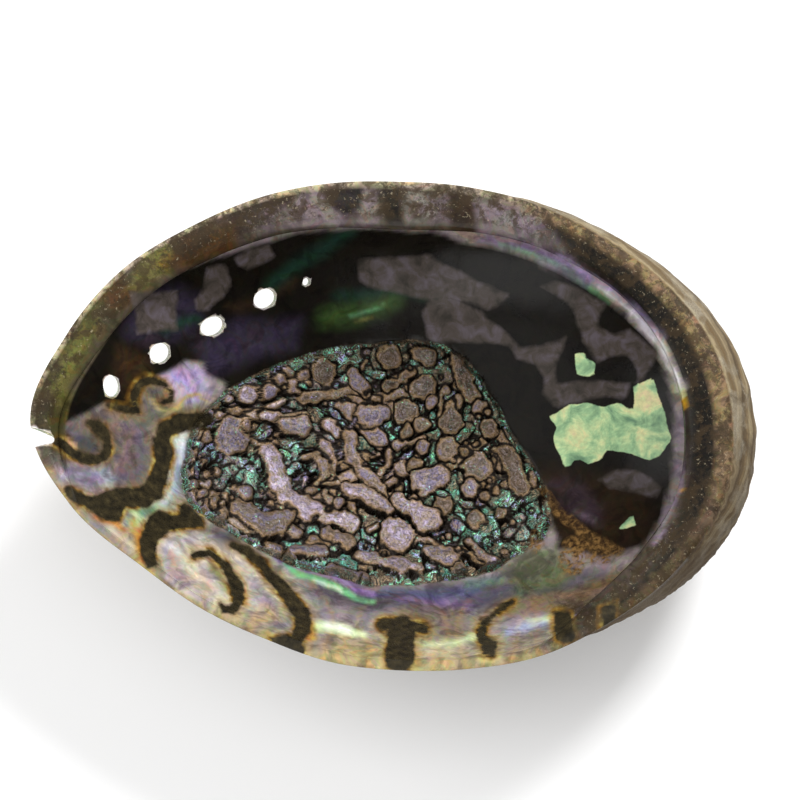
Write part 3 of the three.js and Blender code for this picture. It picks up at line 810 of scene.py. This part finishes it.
# ledge
tint("grey", onLedge)
ledgePaint = [
    ("olive", [(-79.0, 1.1), (-70.6, 1.1), (-57.0, 30.5), (-60.1, 36.8), (-74.8, 22.1)], 2, 1.0),
    ("yellowGreen", [
        (-73.1, 9.5), (-70.2, 17.9), (-64.3, 26.3), (-62.2, 24.2), (-66.4, 15.8), (-70.2, 8.5),
    ], 2, 0.8),
    ("grey", [
        (-69.4, 11.6), (-65.6, 20.0), (-59.7, 30.5), (-58.0, 28.4), (-63.1, 17.9), (-67.7, 9.5),
    ], 1.5, 0.7),
    ("brown", [(-62.7, 31.3), (-58.9, 35.1), (-53.9, 33.8), (-55.1, 30.5), (-59.7, 28.4)], 1.2, 1.0),
    ("yellowGreen", [(-56.4, 33.4), (-53.4, 40.9), (-47.2, 43.0), (-47.6, 37.2), (-53.4, 32.6)], 2, 0.9),
    ("amber", [(-50.1, 38.4), (-47.2, 40.5), (-45.9, 39.3), (-48.4, 37.2)], 1.5, 0.5),
    ("brown", [(-48.4, 38.4), (-45.5, 44.7), (-32.9, 47.2), (-33.7, 40.9), (-45.5, 36.8)], 2, 1.0),
    ("umber", [(-34.6, 46.0), (-31.2, 52.3), (-20.3, 54.8), (-21.2, 49.3), (-28.3, 43.9)], 2, 0.9),
    ("ledgeLilac", [(-31.6, 46.8), (-28.3, 49.7), (-22.8, 50.2), (-23.3, 46.0), (-30.0, 44.3)], 1.4, 0.8),
    ("ledgeLilac", [
        (-23.3, 46.0), (-21.2, 51.4), (-17.8, 53.5), (-4.4, 53.9), (-3.6, 46.0), (-14.0, 45.6),
    ], 0.8, 1.0),
    ("dark", [(-15.7, 54.8), (-6.9, 54.8), (-7.8, 50.2), (-10.7, 48.5), (-13.8, 50.2)], 0.6, 0.9),
    ("dark", [(-3.4, 55.6), (0.6, 55.6), (1.9, 46.0), (-1.9, 46.0)], 0.8, 0.85),
    ("ledgeLilac", [(1.5, 53.1), (10.7, 52.7), (11.5, 46.8), (2.3, 46.8)], 0.8, 1.0),
    ("umber", [(10.3, 54.3), (16.1, 53.5), (16.5, 43.9), (11.5, 45.1)], 0.8, 0.9),
    ("ledgeLilac", [(16.1, 51.4), (34.1, 48.3), (40.4, 40.9), (29.9, 40.9), (17.4, 43.5)], 1.0, 1.0),
    ("lilac", [(19.5, 48.3), (27.9, 47.2), (34.1, 43.0), (25.8, 43.0)], 1.6, 0.5),
    # painted shade: the outer part of the rolled ledge on the right, turned away from the light, painted
    # near-black
    ("dark", [
        (28.9, 51.4), (42.5, 46.0), (54.0, 36.8), (63.5, 23.1), (68.1, 7.4), (67.7, -7.2), (63.5, -21.9),
        (55.1, -32.4), (42.5, -40.8), (40.4, -36.6), (50.9, -29.2), (57.6, -19.8), (60.1, -10.4),
        (61.0, -1.0), (60.5, 9.5), (56.8, 19.6), (49.2, 28.0), (40.4, 36.8), (33.3, 43.0),
    ], 1.6, 0.95),
]
for tone, outline, soft, strength in ledgePaint:
    brush(tone, np.where(onLedge > 0.3, areaDistance(uBent, vBent, outline), 9), soft, strength)
right = smooth(18, 36, u)
hue = hue * (1 - 0.32 * onLedge[..., None])
rimTan = smooth(0.62, 0.74, acrossLedge + 0.07 * rough(u / 1.5, v / 1.5, 4)) * onLedge * right
# the pale tan fades out towards the bottom: partly the rim's own darker colour, partly painted shade
tint("paleTan", rimTan * (1 - 0.7 * smooth(6, -22, v)))
tint("creamWhite", smooth(0.84, 0.94, acrossLedge) * onLedge * (1 - right) * 0.8)
tint("cream", 0.7 * smooth(wallEnd + 11, wallEnd + 15, rowOf) * (1 - ledgeHere) * isInside)

# painted highlight along the rolled free edge of the ledge, with rainbow fringes of violet, green and amber
stroke("violet", [
    (17.3, 43.2, 0.52), (25.3, 41.7, 0.84), (32.8, 39.1, 1.05), (40.2, 34.7, 1.05),
], None, 1.0, 0.6)
stroke("green", [
    (21.6, 41.8, 0.31), (32.8, 38.6, 0.42), (40.2, 34.2, 0.42), (44.5, 30.9, 0.42),
], None, 0.6, 0.6)
stroke("brightLilac", [
    (34.1, 39.7, 0.42), (42.5, 34.7, 0.63), (49.8, 28.2, 0.63), (55.5, 21.7, 0.63),
], None, 0.7, 0.8)
stroke("white", [
    (42.5, 33.0, 0.25), (46.7, 29.6, 0.46), (50.9, 25.9, 0.63), (55.1, 20.8, 0.67), (58.2, 15.8, 0.67),
    (60.0, 11.8, 0.54),
], None, 0.6)
stroke("paleGreen", [(58.4, 12.7, 0.52), (60.1, 10.1, 0.52)], None, 0.5, 0.8)
stroke("amber", [(60.1, 9.1, 0.52), (61.0, 7.8, 0.52)], None, 0.4, 1)
stroke("lilac", [
    (59.7, 5.3, 0.42), (59.3, 0.1, 0.63), (58.6, -8.7, 0.63), (56.8, -14.2, 0.63), (54.1, -20.4, 0.52),
], None, 0.8, 0.8)
stroke("amber", [(59.0, -9.3, 0.42)], None, 0.4, 0.9)
wornArea = [(34.1, -32.4), (48.8, -30.3), (67.7, -15.6), (67.7, -36.6), (42.5, -49.1), (32.0, -49.1)]
weather = 0.9 * smooth(3, -3, areaDistance(uBent, vBent, wornArea))
weather = np.maximum(onLedge * smooth(0.1, 0.3, acrossLedge), weather)
weather = np.maximum(weather, 0.35 * smooth(wallEnd + 10, wallEnd + 15, rowOf)) * isInside
print("hue brushed on")


# The mesh
def deselectAll():
    for thing in bpy.context.selected_objects:
        thing.select_set(False)


deselectAll()
bpy.ops.mesh.primitive_uv_sphere_add(segments=mesh["segments"], ring_count=lastRow, radius=1)
shell = bpy.context.object
shell.name = shell.data.name = "shell"
count = len(shell.data.vertices)
ball = np.empty(count * 3)
shell.data.vertices.foreach_get("co", ball)
ball = ball.reshape(-1, 3)
row = np.rint(np.arccos(np.clip(ball[:, 2], -1, 1)) / np.pi * lastRow).astype(int)
column = np.rint((np.arctan2(ball[:, 1], ball[:, 0]) / (2 * np.pi) % 1) * mesh["segments"]).astype(int)
column %= mesh["segments"]
column[(row == 0) | (row == lastRow)] = 0
place = shaped[row, column] * mm
shell.data.vertices.foreach_set("co", place.ravel())


def pointValue(name, grid):
    values = shell.data.attributes.new(name, "FLOAT", "POINT").data
    values.foreach_set("value", grid[row, column].astype(np.float32))


for name, grid in {
    "darkMm": np.clip(darkMm, -8, 8),
    "smokeMm": np.clip(smokeMm, -8, 8),
    "flakeMm": np.clip(flakeMm, -8, 8),
    "depositMm": np.clip(depositMm, -8, 8),
    "scarMm": np.clip(scarMm, -20, 20),
    "creviceMm": creviceMm,
    "growthTone": growthTone,
    "growthHere": growthHere,
    "side": sideNow,
    "growth": growthAll,
    "weather": weather,
}.items():
    pointValue(name, grid)
hueValues = np.concatenate([hue[row, column], np.ones((count, 1))], 1)
hueData = shell.data.attributes.new("hue", "FLOAT_COLOR", "POINT").data
hueData.foreach_set("color", hueValues.astype(np.float32).ravel())

# flat map for the finish: the inside and the outside as two discs
flatMap = {"reach": 0.245, "insideAt": 0.25, "outsideAt": 0.75, "tall": 1.9}
flat = shell.data.uv_layers.new(name="OFBake") if not shell.data.uv_layers else shell.data.uv_layers[0]
flat.name = "OFBake"
arc = np.concatenate([np.zeros((1, mesh["segments"])),
                      np.cumsum(np.linalg.norm(np.diff(points, axis=0), axis=-1), 0)])
outerReach = arc[-1:] - arc
corner = np.empty(len(shell.data.loops), int)
shell.data.loops.foreach_get("vertex_index", corner)
polygonOf = np.repeat(np.arange(len(shell.data.polygons)), [p.loop_total for p in shell.data.polygons])
rowsAt = row[corner]
outside = np.zeros(len(shell.data.polygons), bool)
np.logical_or.at(outside, polygonOf, rowsAt > rimRow)
outCorner = outside[polygonOf]
widest = max(arc[:rimRow + 1].max(), outerReach[rimRow:].max())
scale = flatMap["reach"] / widest
reach = np.where(outCorner, outerReach[rowsAt, column[corner]],
                 np.minimum(arc, arc[rimRow])[rowsAt, column[corner]]) * scale
turnAt = (turns * 2 * np.pi)[column[corner]]
across = np.where(outCorner, flatMap["outsideAt"], flatMap["insideAt"]) + reach * np.cos(turnAt)
uvs = np.stack([across, 0.5 + reach * np.sin(turnAt) * flatMap["tall"]], 1)
flat.data.foreach_set("uv", uvs.astype(np.float32).ravel())
shell.data.update()
print("shell:", count, "points")


# Holes and notch
def cutWith(cutter):
    deselectAll()
    shell.select_set(True)
    bpy.context.view_layer.objects.active = shell
    cut = shell.modifiers.new("cut", "BOOLEAN")
    cut.operation = "DIFFERENCE"
    cut.solver = "EXACT"
    cut.object = cutter
    bpy.ops.object.modifier_apply(modifier=cut.name)
    bpy.data.objects.remove(cutter)


drillWay = Vector(holeRow["drill"]).normalized()
drillTurn = Vector((0, 0, -1)).rotation_difference(drillWay)
for x, y, z, along, across in holes:
    deselectAll()
    bpy.ops.mesh.primitive_cylinder_add(vertices=40, radius=0.5 * mm, depth=holeRow["depth"] * mm)
    drill = bpy.context.object
    drill.scale = (along, across, 1)
    bpy.ops.object.transform_apply(scale=True)
    drill.rotation_euler = (0, 0, holeRow["turn"])
    bpy.ops.object.transform_apply(rotation=True)
    drill.rotation_mode = "QUATERNION"
    drill.rotation_quaternion = drillTurn
    drill.location = Vector((x + move[0], y + move[1], z + move[2])) * mm
    bpy.ops.object.transform_apply(location=True, rotation=True)
    cutWith(drill)
deselectAll()
bpy.ops.mesh.primitive_cylinder_add(vertices=48, radius=notch["width"] / 2 * mm, depth=notch["tall"] * mm)
slot = bpy.context.object
roundEnd = notch["width"] / 2 * mm
flare = (notch["mouth"] - notch["width"]) / 2 * mm
stretch = (notch["length"] - notch["width"] / 2) / (notch["width"] / 2)
for vertex in slot.data.vertices:  # widens outwards
    if vertex.co.x < -1e-6:
        side = 1 if vertex.co.y > 0 else -1
        vertex.co.y += side * flare * -vertex.co.x / roundEnd
        vertex.co.x *= stretch
slot.location = Vector((notch["x"] + notch["length"] - notch["width"] / 2 + move[0], notch["y"] + move[1],
                        notch["low"] + notch["tall"] / 2)) * mm
bpy.ops.object.transform_apply(location=True)
cutWith(slot)
deselectAll()
shell.select_set(True)
bpy.context.view_layer.objects.active = shell
bpy.ops.object.shade_smooth_by_angle(angle=math.radians(60))
print("holes and notch cut:", len(shell.data.polygons), "faces")


# Finish
class Graph:  # short words for building a material's nodes
    def __init__(self, name):
        self.material = bpy.data.materials.new(name)
        self.material.use_nodes = True
        self.nodes = self.material.node_tree.nodes
        self.links = self.material.node_tree.links
        self.shader = self.nodes["Principled BSDF"]

    def put(self, socket, value):
        if isinstance(value, bpy.types.NodeSocket):
            self.links.new(value, socket)
        else:
            if isinstance(value, tuple) and len(value) == 3 and socket.type == "RGBA":
                value = value + (1.0,)
            socket.default_value = value

    def math(self, operation, a, b=0.0):
        node = self.nodes.new("ShaderNodeMath")
        node.operation = operation
        self.put(node.inputs[0], a)
        self.put(node.inputs[1], b)
        return node.outputs[0]

    def times(self, a, b):
        return self.math("MULTIPLY", a, b)

    def plus(self, a, b):
        return self.math("ADD", a, b)

    def value(self, name, output="Fac"):
        node = self.nodes.new("ShaderNodeAttribute")
        node.attribute_name = name
        return node.outputs[output]

    def place(self):
        return self.nodes.new("ShaderNodeTexCoord").outputs["Object"]

    def noise(self, size, detail=3.0, distort=0.0, roughness=0.55):  # size in mm
        mapping = self.nodes.new("ShaderNodeMapping")
        mapping.inputs["Scale"].default_value = (1 / (size * mm),) * 3
        self.put(mapping.inputs["Vector"], self.place())
        node = self.nodes.new("ShaderNodeTexNoise")
        node.inputs["Scale"].default_value = 1.0
        node.inputs["Detail"].default_value = detail
        node.inputs["Roughness"].default_value = roughness
        node.inputs["Distortion"].default_value = distort
        self.put(node.inputs["Vector"], mapping.outputs[0])
        return node.outputs["Fac"]

    def ramp(self, value, stops):
        node = self.nodes.new("ShaderNodeValToRGB")
        while len(node.color_ramp.elements) < len(stops):
            node.color_ramp.elements.new(0.5)
        for element, (at, shade) in zip(node.color_ramp.elements, stops):
            element.position = at
            element.color = shade + (1.0,)
        self.put(node.inputs[0], value)
        return node.outputs[0]

    def fit(self, value, fromLow, fromHigh, toLow=0.0, toHigh=1.0):
        node = self.nodes.new("ShaderNodeMapRange")
        for index, number in zip((1, 2, 3, 4), (fromLow, fromHigh, toLow, toHigh)):
            node.inputs[index].default_value = number
        self.put(node.inputs[0], value)
        return node.outputs[0]

    def sway(self, value, reach):  # a noise stretched to run from -reach to reach
        return self.fit(value, 0, 1, -reach, reach)

    def mix(self, factor, a, b, kind="MIX"):
        node = self.nodes.new("ShaderNodeMix")
        node.data_type, node.blend_type = "RGBA", kind
        self.put(node.inputs[0], factor)
        self.put(node.inputs[6], a)
        self.put(node.inputs[7], b)
        return node.outputs[2]

    def mixValue(self, factor, a, b):
        node = self.nodes.new("ShaderNodeMix")
        self.put(node.inputs[0], factor)
        self.put(node.inputs[2], a)
        self.put(node.inputs[3], b)
        return node.outputs[0]


finish = {
    "metalOnScar": 0.45,
    "specular": 0.11,
    "bumpStrength": 0.9,
    "bumpDepth": 0.3,
    # roughness of each part
    "nacre": 0.2,
    "darkLayers": 0.28,
    "growths": 0.33,
    "weathered": 0.5,
    "outside": 0.8,
}


def nacreMaterial():
    g = Graph("nacre")
    broad, coarse, medium, fine = g.noise(6.0, 2), g.noise(2.6, 3), g.noise(0.9, 4), g.noise(0.32, 2)
    waver = g.plus(g.sway(coarse, 1.0), g.sway(medium, 0.06))

    def edgeMask(name, soft, wander=1.0, shift=0.0):
        wandered = g.plus(g.value(name), g.times(waver, wander))
        return g.fit(wandered, soft + shift, shift - soft)

    # nacre with its soft play of colour
    play = g.ramp(g.noise(4.5, 4, 1.5, 0.5), [
        (0.3, (1.0, 0.76, 0.95)), (0.4, (0.74, 0.8, 1.0)), (0.48, (0.95, 0.92, 1.0)),
        (0.55, (0.72, 1.0, 0.82)), (0.62, (1.0, 0.9, 0.7)), (0.72, (0.95, 0.74, 0.76)),
    ])
    hueNow = g.value("hue", "Color")
    dull = g.fit(hueNow, 0.5, 0.85, 1.0, 0.2)  # the brightest gleams stay clear
    base = g.mix(g.times(dull, 0.75), hueNow, play, "MULTIPLY")
    fromDark = g.plus(g.value("darkMm"), g.sway(coarse, 1.0))
    rims = g.ramp(g.times(fromDark, 0.125), [
        (0.0, (1.0, 0.85, 0.5)), (0.14, (1.0, 1.0, 0.8)), (0.26, (0.72, 0.82, 0.95)),
        (0.38, (0.85, 0.76, 0.95)), (0.5, (1.0, 0.84, 0.72)), (0.62, (0.66, 0.66, 0.76)),
        (0.8, (1.0, 0.96, 1.0)),
    ])
    base = g.mix(g.times(dull, 0.75), base, rims, "MULTIPLY")
    base = g.mix(dull, base, (1.0, 0.89, 0.76), "MULTIPLY")
    shade = g.times(dull, g.fit(g.noise(5.5, 3, 1.2), 0.46, 0.62, 0.0, 0.62))
    base = g.mix(shade, base, (0.3, 0.27, 0.29), "MULTIPLY")
    base = g.mix(g.fit(g.noise(3.0, 3, 1.0), 0.58, 0.68, 0.0, 0.35), base, (1.7, 1.7, 1.6), "MULTIPLY")
    base = g.mix(g.fit(medium, 0.35, 0.65, 0.0, 0.15), base, (0.25, 0.22, 0.2), "MULTIPLY")
    layers = g.math("SINE", g.plus(g.times(broad, 34.0), g.times(medium, 2.5)))
    base = g.mix(g.fit(layers, -1, 1, 0.0, 0.16), base, (0.35, 0.3, 0.28), "MULTIPLY")

    # weathered ledge and lip: dark specks and pale scuffs
    weather = g.value("weather")
    specks = g.fit(g.plus(g.noise(1.0, 8, 0.2, 0.78), g.fit(broad, 0.2, 0.8, -0.2, 0.2)), 0.46, 0.62)
    base = g.mix(g.times(g.times(specks, weather), 0.85), base, (0.022, 0.015, 0.008))
    blotches = g.times(g.fit(g.noise(3.2, 6, 0.5, 0.65), 0.49, 0.56), weather)
    base = g.mix(g.times(blotches, 0.72), base, (0.035, 0.022, 0.01))
    scuffs = g.fit(g.noise(0.8, 5, 0.2, 0.7), 0.6, 0.68)
    base = g.mix(g.times(g.times(scuffs, weather), 0.5), base, (0.38, 0.32, 0.21))

    # scar: dark valleys with painted glints, and growths with tan edges and mauve tops, painted highlights
    # on their wrinkles and dirt and painted shade in the crevices between them
    scar = edgeMask("scarMm", 0.3, 0.5, 0.7)
    tone = g.value("growthTone")
    valleyAt = g.plus(g.times(tone, 0.55), g.times(g.noise(1.1, 4, 1.0), 0.45))
    valley = g.ramp(valleyAt, [
        (0.16, (0.03, 0.027, 0.022)), (0.26, (0.14, 0.095, 0.06)), (0.34, (0.05, 0.12, 0.09)),
        (0.42, (0.05, 0.065, 0.035)), (0.52, (0.15, 0.1, 0.065)), (0.6, (0.11, 0.1, 0.24)),
        (0.7, (0.2, 0.14, 0.12)), (0.8, (0.08, 0.32, 0.25)),
    ])
    contours = g.math("SINE", g.times(g.noise(3.4, 3, 0.8), 75.0))
    patches = g.noise(3.6, 3, 0.6)
    streak = g.ramp(patches, [
        (0.4, (0.34, 0.24, 0.14)), (0.48, (0.15, 0.1, 0.07)), (0.54, (0.14, 0.62, 0.5)),
        (0.6, (0.26, 0.66, 0.28)), (0.66, (0.46, 0.42, 0.85)),
    ])
    valley = g.mix(g.fit(contours, 0.45, 0.95, 0.0, 0.75), valley, streak)
    valley = g.mix(g.fit(contours, -0.4, -0.9, 0.0, 0.8), valley, (0.02, 0.017, 0.014))
    wrinkle = g.noise(0.55, 5, 1.8, 0.6)
    valley = g.mix(g.fit(wrinkle, 0.52, 0.62, 0.0, 0.6), valley, (0.02, 0.017, 0.014))
    base = g.mix(scar, base, valley)
    depthIn = g.plus(g.value("creviceMm"), g.sway(medium, 0.25))
    topAt = g.plus(g.times(tone, 0.5), g.times(g.noise(1.6, 4, 0.8), 0.5))
    tops = g.ramp(topAt, [
        (0.22, (0.03, 0.021, 0.014)), (0.33, (0.11, 0.07, 0.042)), (0.42, (0.12, 0.09, 0.075)),
        (0.49, (0.2, 0.145, 0.085)), (0.56, (0.16, 0.14, 0.24)), (0.62, (0.26, 0.195, 0.12)),
        (0.69, (0.34, 0.28, 0.42)), (0.76, (0.6, 0.5, 0.46)),
    ])
    growthColor = g.mix(g.fit(depthIn, 0.42, 1.0), (0.25, 0.155, 0.07), tops)
    rings = g.math("SINE", g.plus(g.times(g.value("creviceMm"), 7.0), g.times(coarse, 22.0)))
    growthColor = g.mix(g.fit(rings, 0.2, 0.9, 0.0, 0.32), growthColor, (0.03, 0.022, 0.016))
    growthColor = g.mix(g.fit(rings, -0.5, -0.95, 0.0, 0.2), growthColor, (0.34, 0.29, 0.32))
    growthColor = g.mix(g.fit(wrinkle, 0.52, 0.62, 0.0, 0.75), growthColor, (0.02, 0.014, 0.01))
    # painted highlight on the growths' wrinkles
    growthColor = g.mix(g.fit(wrinkle, 0.42, 0.34, 0.0, 0.5), growthColor, (0.34, 0.28, 0.34))
    base = g.mix(g.times(g.times(g.value("growthHere"), scar), 0.92), base, growthColor)
    # painted glints: bright teal, green and violet specks in the base colour
    glints = g.fit(g.plus(g.noise(0.9, 4, 1.6), g.times(g.value("growthHere"), -0.06)), 0.58, 0.64)
    glintColor = g.ramp(coarse, [
        (0.38, (0.12, 0.7, 0.52)), (0.46, (0.3, 0.85, 0.36)), (0.54, (0.5, 0.8, 0.85)),
        (0.62, (0.48, 0.4, 0.95)),
    ])
    glints = g.times(glints, g.fit(patches, 0.48, 0.57, 0.1, 0.9))
    base = g.mix(g.times(glints, scar), base, glintColor)
    # dark lines in the crevices round the growths: dirt, and painted shade
    creviceDirtAndShade = g.fit(g.plus(g.value("creviceMm"), g.sway(fine, 0.12)), 0.16, 0.42, 1.0, 0.0)
    base = g.mix(g.times(creviceDirtAndShade, scar), base, (0.01, 0.007, 0.005))

    # smoky patches on the dark wall
    smoke = edgeMask("smokeMm", 0.45, 0.6)
    smokeColor = g.ramp(g.noise(3.0, 4, 0.6), [
        (0.3, (0.035, 0.03, 0.024)), (0.5, (0.075, 0.06, 0.052)), (0.7, (0.12, 0.1, 0.115)),
    ])
    base = g.mix(g.times(smoke, 0.9), base, smokeColor)

    # dark protein layers, amber where they thin out
    amber = g.times(edgeMask("darkMm", 0.5, 0.7, 0.55), g.fit(broad, 0.46, 0.58, 0.15, 1.0))
    base = g.mix(amber, base, g.ramp(coarse, [
        (0.35, (0.1, 0.045, 0.01)), (0.55, (0.24, 0.13, 0.02)), (0.7, (0.42, 0.33, 0.08)),
    ]))
    dark = edgeMask("darkMm", 0.32, 0.7)
    base = g.mix(dark, base, g.ramp(g.noise(1.6, 4), [
        (0.35, (0.012, 0.01, 0.006)), (0.6, (0.032, 0.025, 0.012)), (0.78, (0.065, 0.05, 0.022)),
    ]))

    # loose flakes and deposit
    flake = edgeMask("flakeMm", 0.12, 0.45)
    flakeColor = g.ramp(g.noise(5.0, 4, 0.5, 0.6), [
        (0.32, (0.16, 0.3, 0.18)), (0.45, (0.4, 0.64, 0.34)), (0.54, (0.66, 0.82, 0.42)),
        (0.64, (0.88, 0.83, 0.43)), (0.74, (0.9, 0.66, 0.44)),
    ])
    base = g.mix(flake, base, g.mix(g.fit(medium, 0.3, 0.7, 0.0, 0.3), flakeColor, (0.12, 0.2, 0.1)))
    deposit = edgeMask("depositMm", 0.4, 0.9)
    rusty = g.times(deposit, g.fit(g.noise(1.6, 4, 1.0), 0.4, 0.58, 0.25, 0.95))
    base = g.mix(rusty, base, g.ramp(medium, [(0.35, (0.035, 0.018, 0.008)), (0.6, (0.2, 0.11, 0.035))]))

    # weathered outside: growth bands with pale crust
    growthAt = g.plus(g.value("growth"), g.sway(coarse, 0.01))
    bands = g.math("FRACT", g.times(growthAt, 7.0))
    bandColor = g.ramp(bands, [
        (0.0, (0.2, 0.14, 0.07)), (0.2, (0.36, 0.29, 0.17)), (0.4, (0.13, 0.085, 0.04)),
        (0.6, (0.3, 0.235, 0.14)), (0.8, (0.08, 0.055, 0.03)), (1.0, (0.2, 0.14, 0.07)),
    ])
    lines = g.math("SINE", g.times(growthAt, 300.0))
    bandColor = g.mix(g.fit(lines, -1, 1, 0.0, 0.35), bandColor, (0.05, 0.035, 0.02))
    crust = g.fit(g.noise(7.0, 5, 0.4, 0.65), 0.48, 0.62)
    bandColor = g.mix(g.times(crust, 0.5), bandColor,
                      g.ramp(fine, [(0.3, (0.22, 0.2, 0.15)), (0.7, (0.46, 0.42, 0.33))]))
    stains = g.fit(g.noise(9.0, 4, 0.8, 0.6), 0.5, 0.68)
    bandColor = g.mix(g.times(stains, 0.7), bandColor, (0.05, 0.032, 0.018))
    # darker towards the front (-Y): partly the shell's own dark stain, partly painted shade
    acrossShell = g.nodes.new("ShaderNodeSeparateXYZ")
    g.put(acrossShell.inputs[0], g.place())
    stainAndShade = g.plus(acrossShell.outputs["Y"], g.sway(broad, 0.016))
    bandColor = g.mix(g.fit(stainAndShade, 0.008, -0.03, 0.0, 0.8), bandColor, (0.045, 0.028, 0.014))
    side = g.fit(g.plus(g.value("side"), g.sway(medium, 0.2)), 0.3, 0.7)
    base = g.mix(side, base, bandColor)
    g.put(g.shader.inputs["Base Color"], base)

    gloss = g.mixValue(dark, finish["nacre"], finish["darkLayers"])
    gloss = g.mixValue(g.value("growthHere"), gloss, finish["growths"])
    gloss = g.mixValue(weather, gloss, finish["weathered"])
    gloss = g.mixValue(side, gloss, finish["outside"])
    g.put(g.shader.inputs["Roughness"], g.plus(gloss, g.sway(fine, 0.06)))
    g.put(g.shader.inputs["Metallic"], g.times(scar, finish["metalOnScar"]))
    g.shader.inputs["Specular IOR Level"].default_value = finish["specular"]

    bump = g.nodes.new("ShaderNodeBump")
    bump.inputs["Strength"].default_value = finish["bumpStrength"]
    bump.inputs["Distance"].default_value = finish["bumpDepth"] * mm
    rugged = g.mixValue(scar, g.mixValue(weather, 0.12, 0.45), 1.0)
    rugged = g.mixValue(side, rugged, 0.9)
    wrinkles = g.plus(g.times(g.noise(0.7, 4, 1.2, 0.6), 0.8), g.times(fine, 0.3))
    g.put(bump.inputs["Height"], g.times(wrinkles, rugged))
    g.put(g.shader.inputs["Normal"], bump.outputs[0])
    return g.material


shell.data.materials.clear()
shell.data.materials.append(nacreMaterial())
for polygon in shell.data.polygons:
    polygon.material_index = 0
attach(shell, "root")
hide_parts("abalone_shell")
print("finish on")

# Studio
studio = {"floor": 3.0, "gap": 0.0002, "floorShade": 0.93, "world": 0.24}


def plainMaterial(name, shade):
    g = Graph(name)
    g.shader.inputs["Base Color"].default_value = (shade, shade, shade, 1)
    g.shader.inputs["Roughness"].default_value = 0.9
    g.shader.inputs["Specular IOR Level"].default_value = 0.1
    return g.material


deselectAll()
bpy.ops.mesh.primitive_plane_add(size=studio["floor"], location=(0, 0, -studio["gap"]))
floor = bpy.context.object
floor.name = "floor"
floor.data.materials.append(plainMaterial("floorPaper", studio["floorShade"]))

world = bpy.data.worlds.new("studio")
bpy.context.scene.world = world
world.use_nodes = True
world.node_tree.nodes["Background"].inputs["Color"].default_value = (1, 1, 1, 1)
world.node_tree.nodes["Background"].inputs["Strength"].default_value = studio["world"]

lights = {  # place in m, size in m, power in W
    "key": ((0.45, 0.7, 0.8), 0.4, 14.0),
    "fill": ((-0.85, 0.15, 0.75), 0.7, 5.0),
    "front": ((-0.1, -1.0, 0.75), 0.9, 8.0),
    "top": ((0.0, -0.1, 1.4), 1.1, 5.0),
}
for name, (place, size, power) in lights.items():
    bpy.ops.object.light_add(type="AREA", location=place)
    lamp = bpy.context.object
    lamp.name = name
    lamp.data.size = size
    lamp.data.energy = power
    lamp.rotation_euler = (Vector((0, 0, 0.02)) - Vector(place)).to_track_quat("-Z", "Y").to_euler()

view = {"lens": 150.35, "lookRight": 0.62, "lookUp": 9.5}
target = np.array(layout["middle"]) + view["lookRight"] * np.array([1, 0, 0]) + view["lookUp"] * sheetUp
eye = np.array(layout["middle"]) + layout["distance"] * toView
bpy.ops.object.camera_add(location=Vector(eye * mm))
camera = bpy.context.object
camera.data.lens = view["lens"]
camera.data.sensor_width = 36
camera.data.clip_start = 0.01
camera.rotation_euler = (Vector(target) - Vector(eye)).to_track_quat("-Z", "Y").to_euler()
bpy.context.scene.camera = camera
bpy.context.scene.view_settings.view_transform = "Standard"
print("studio lit")
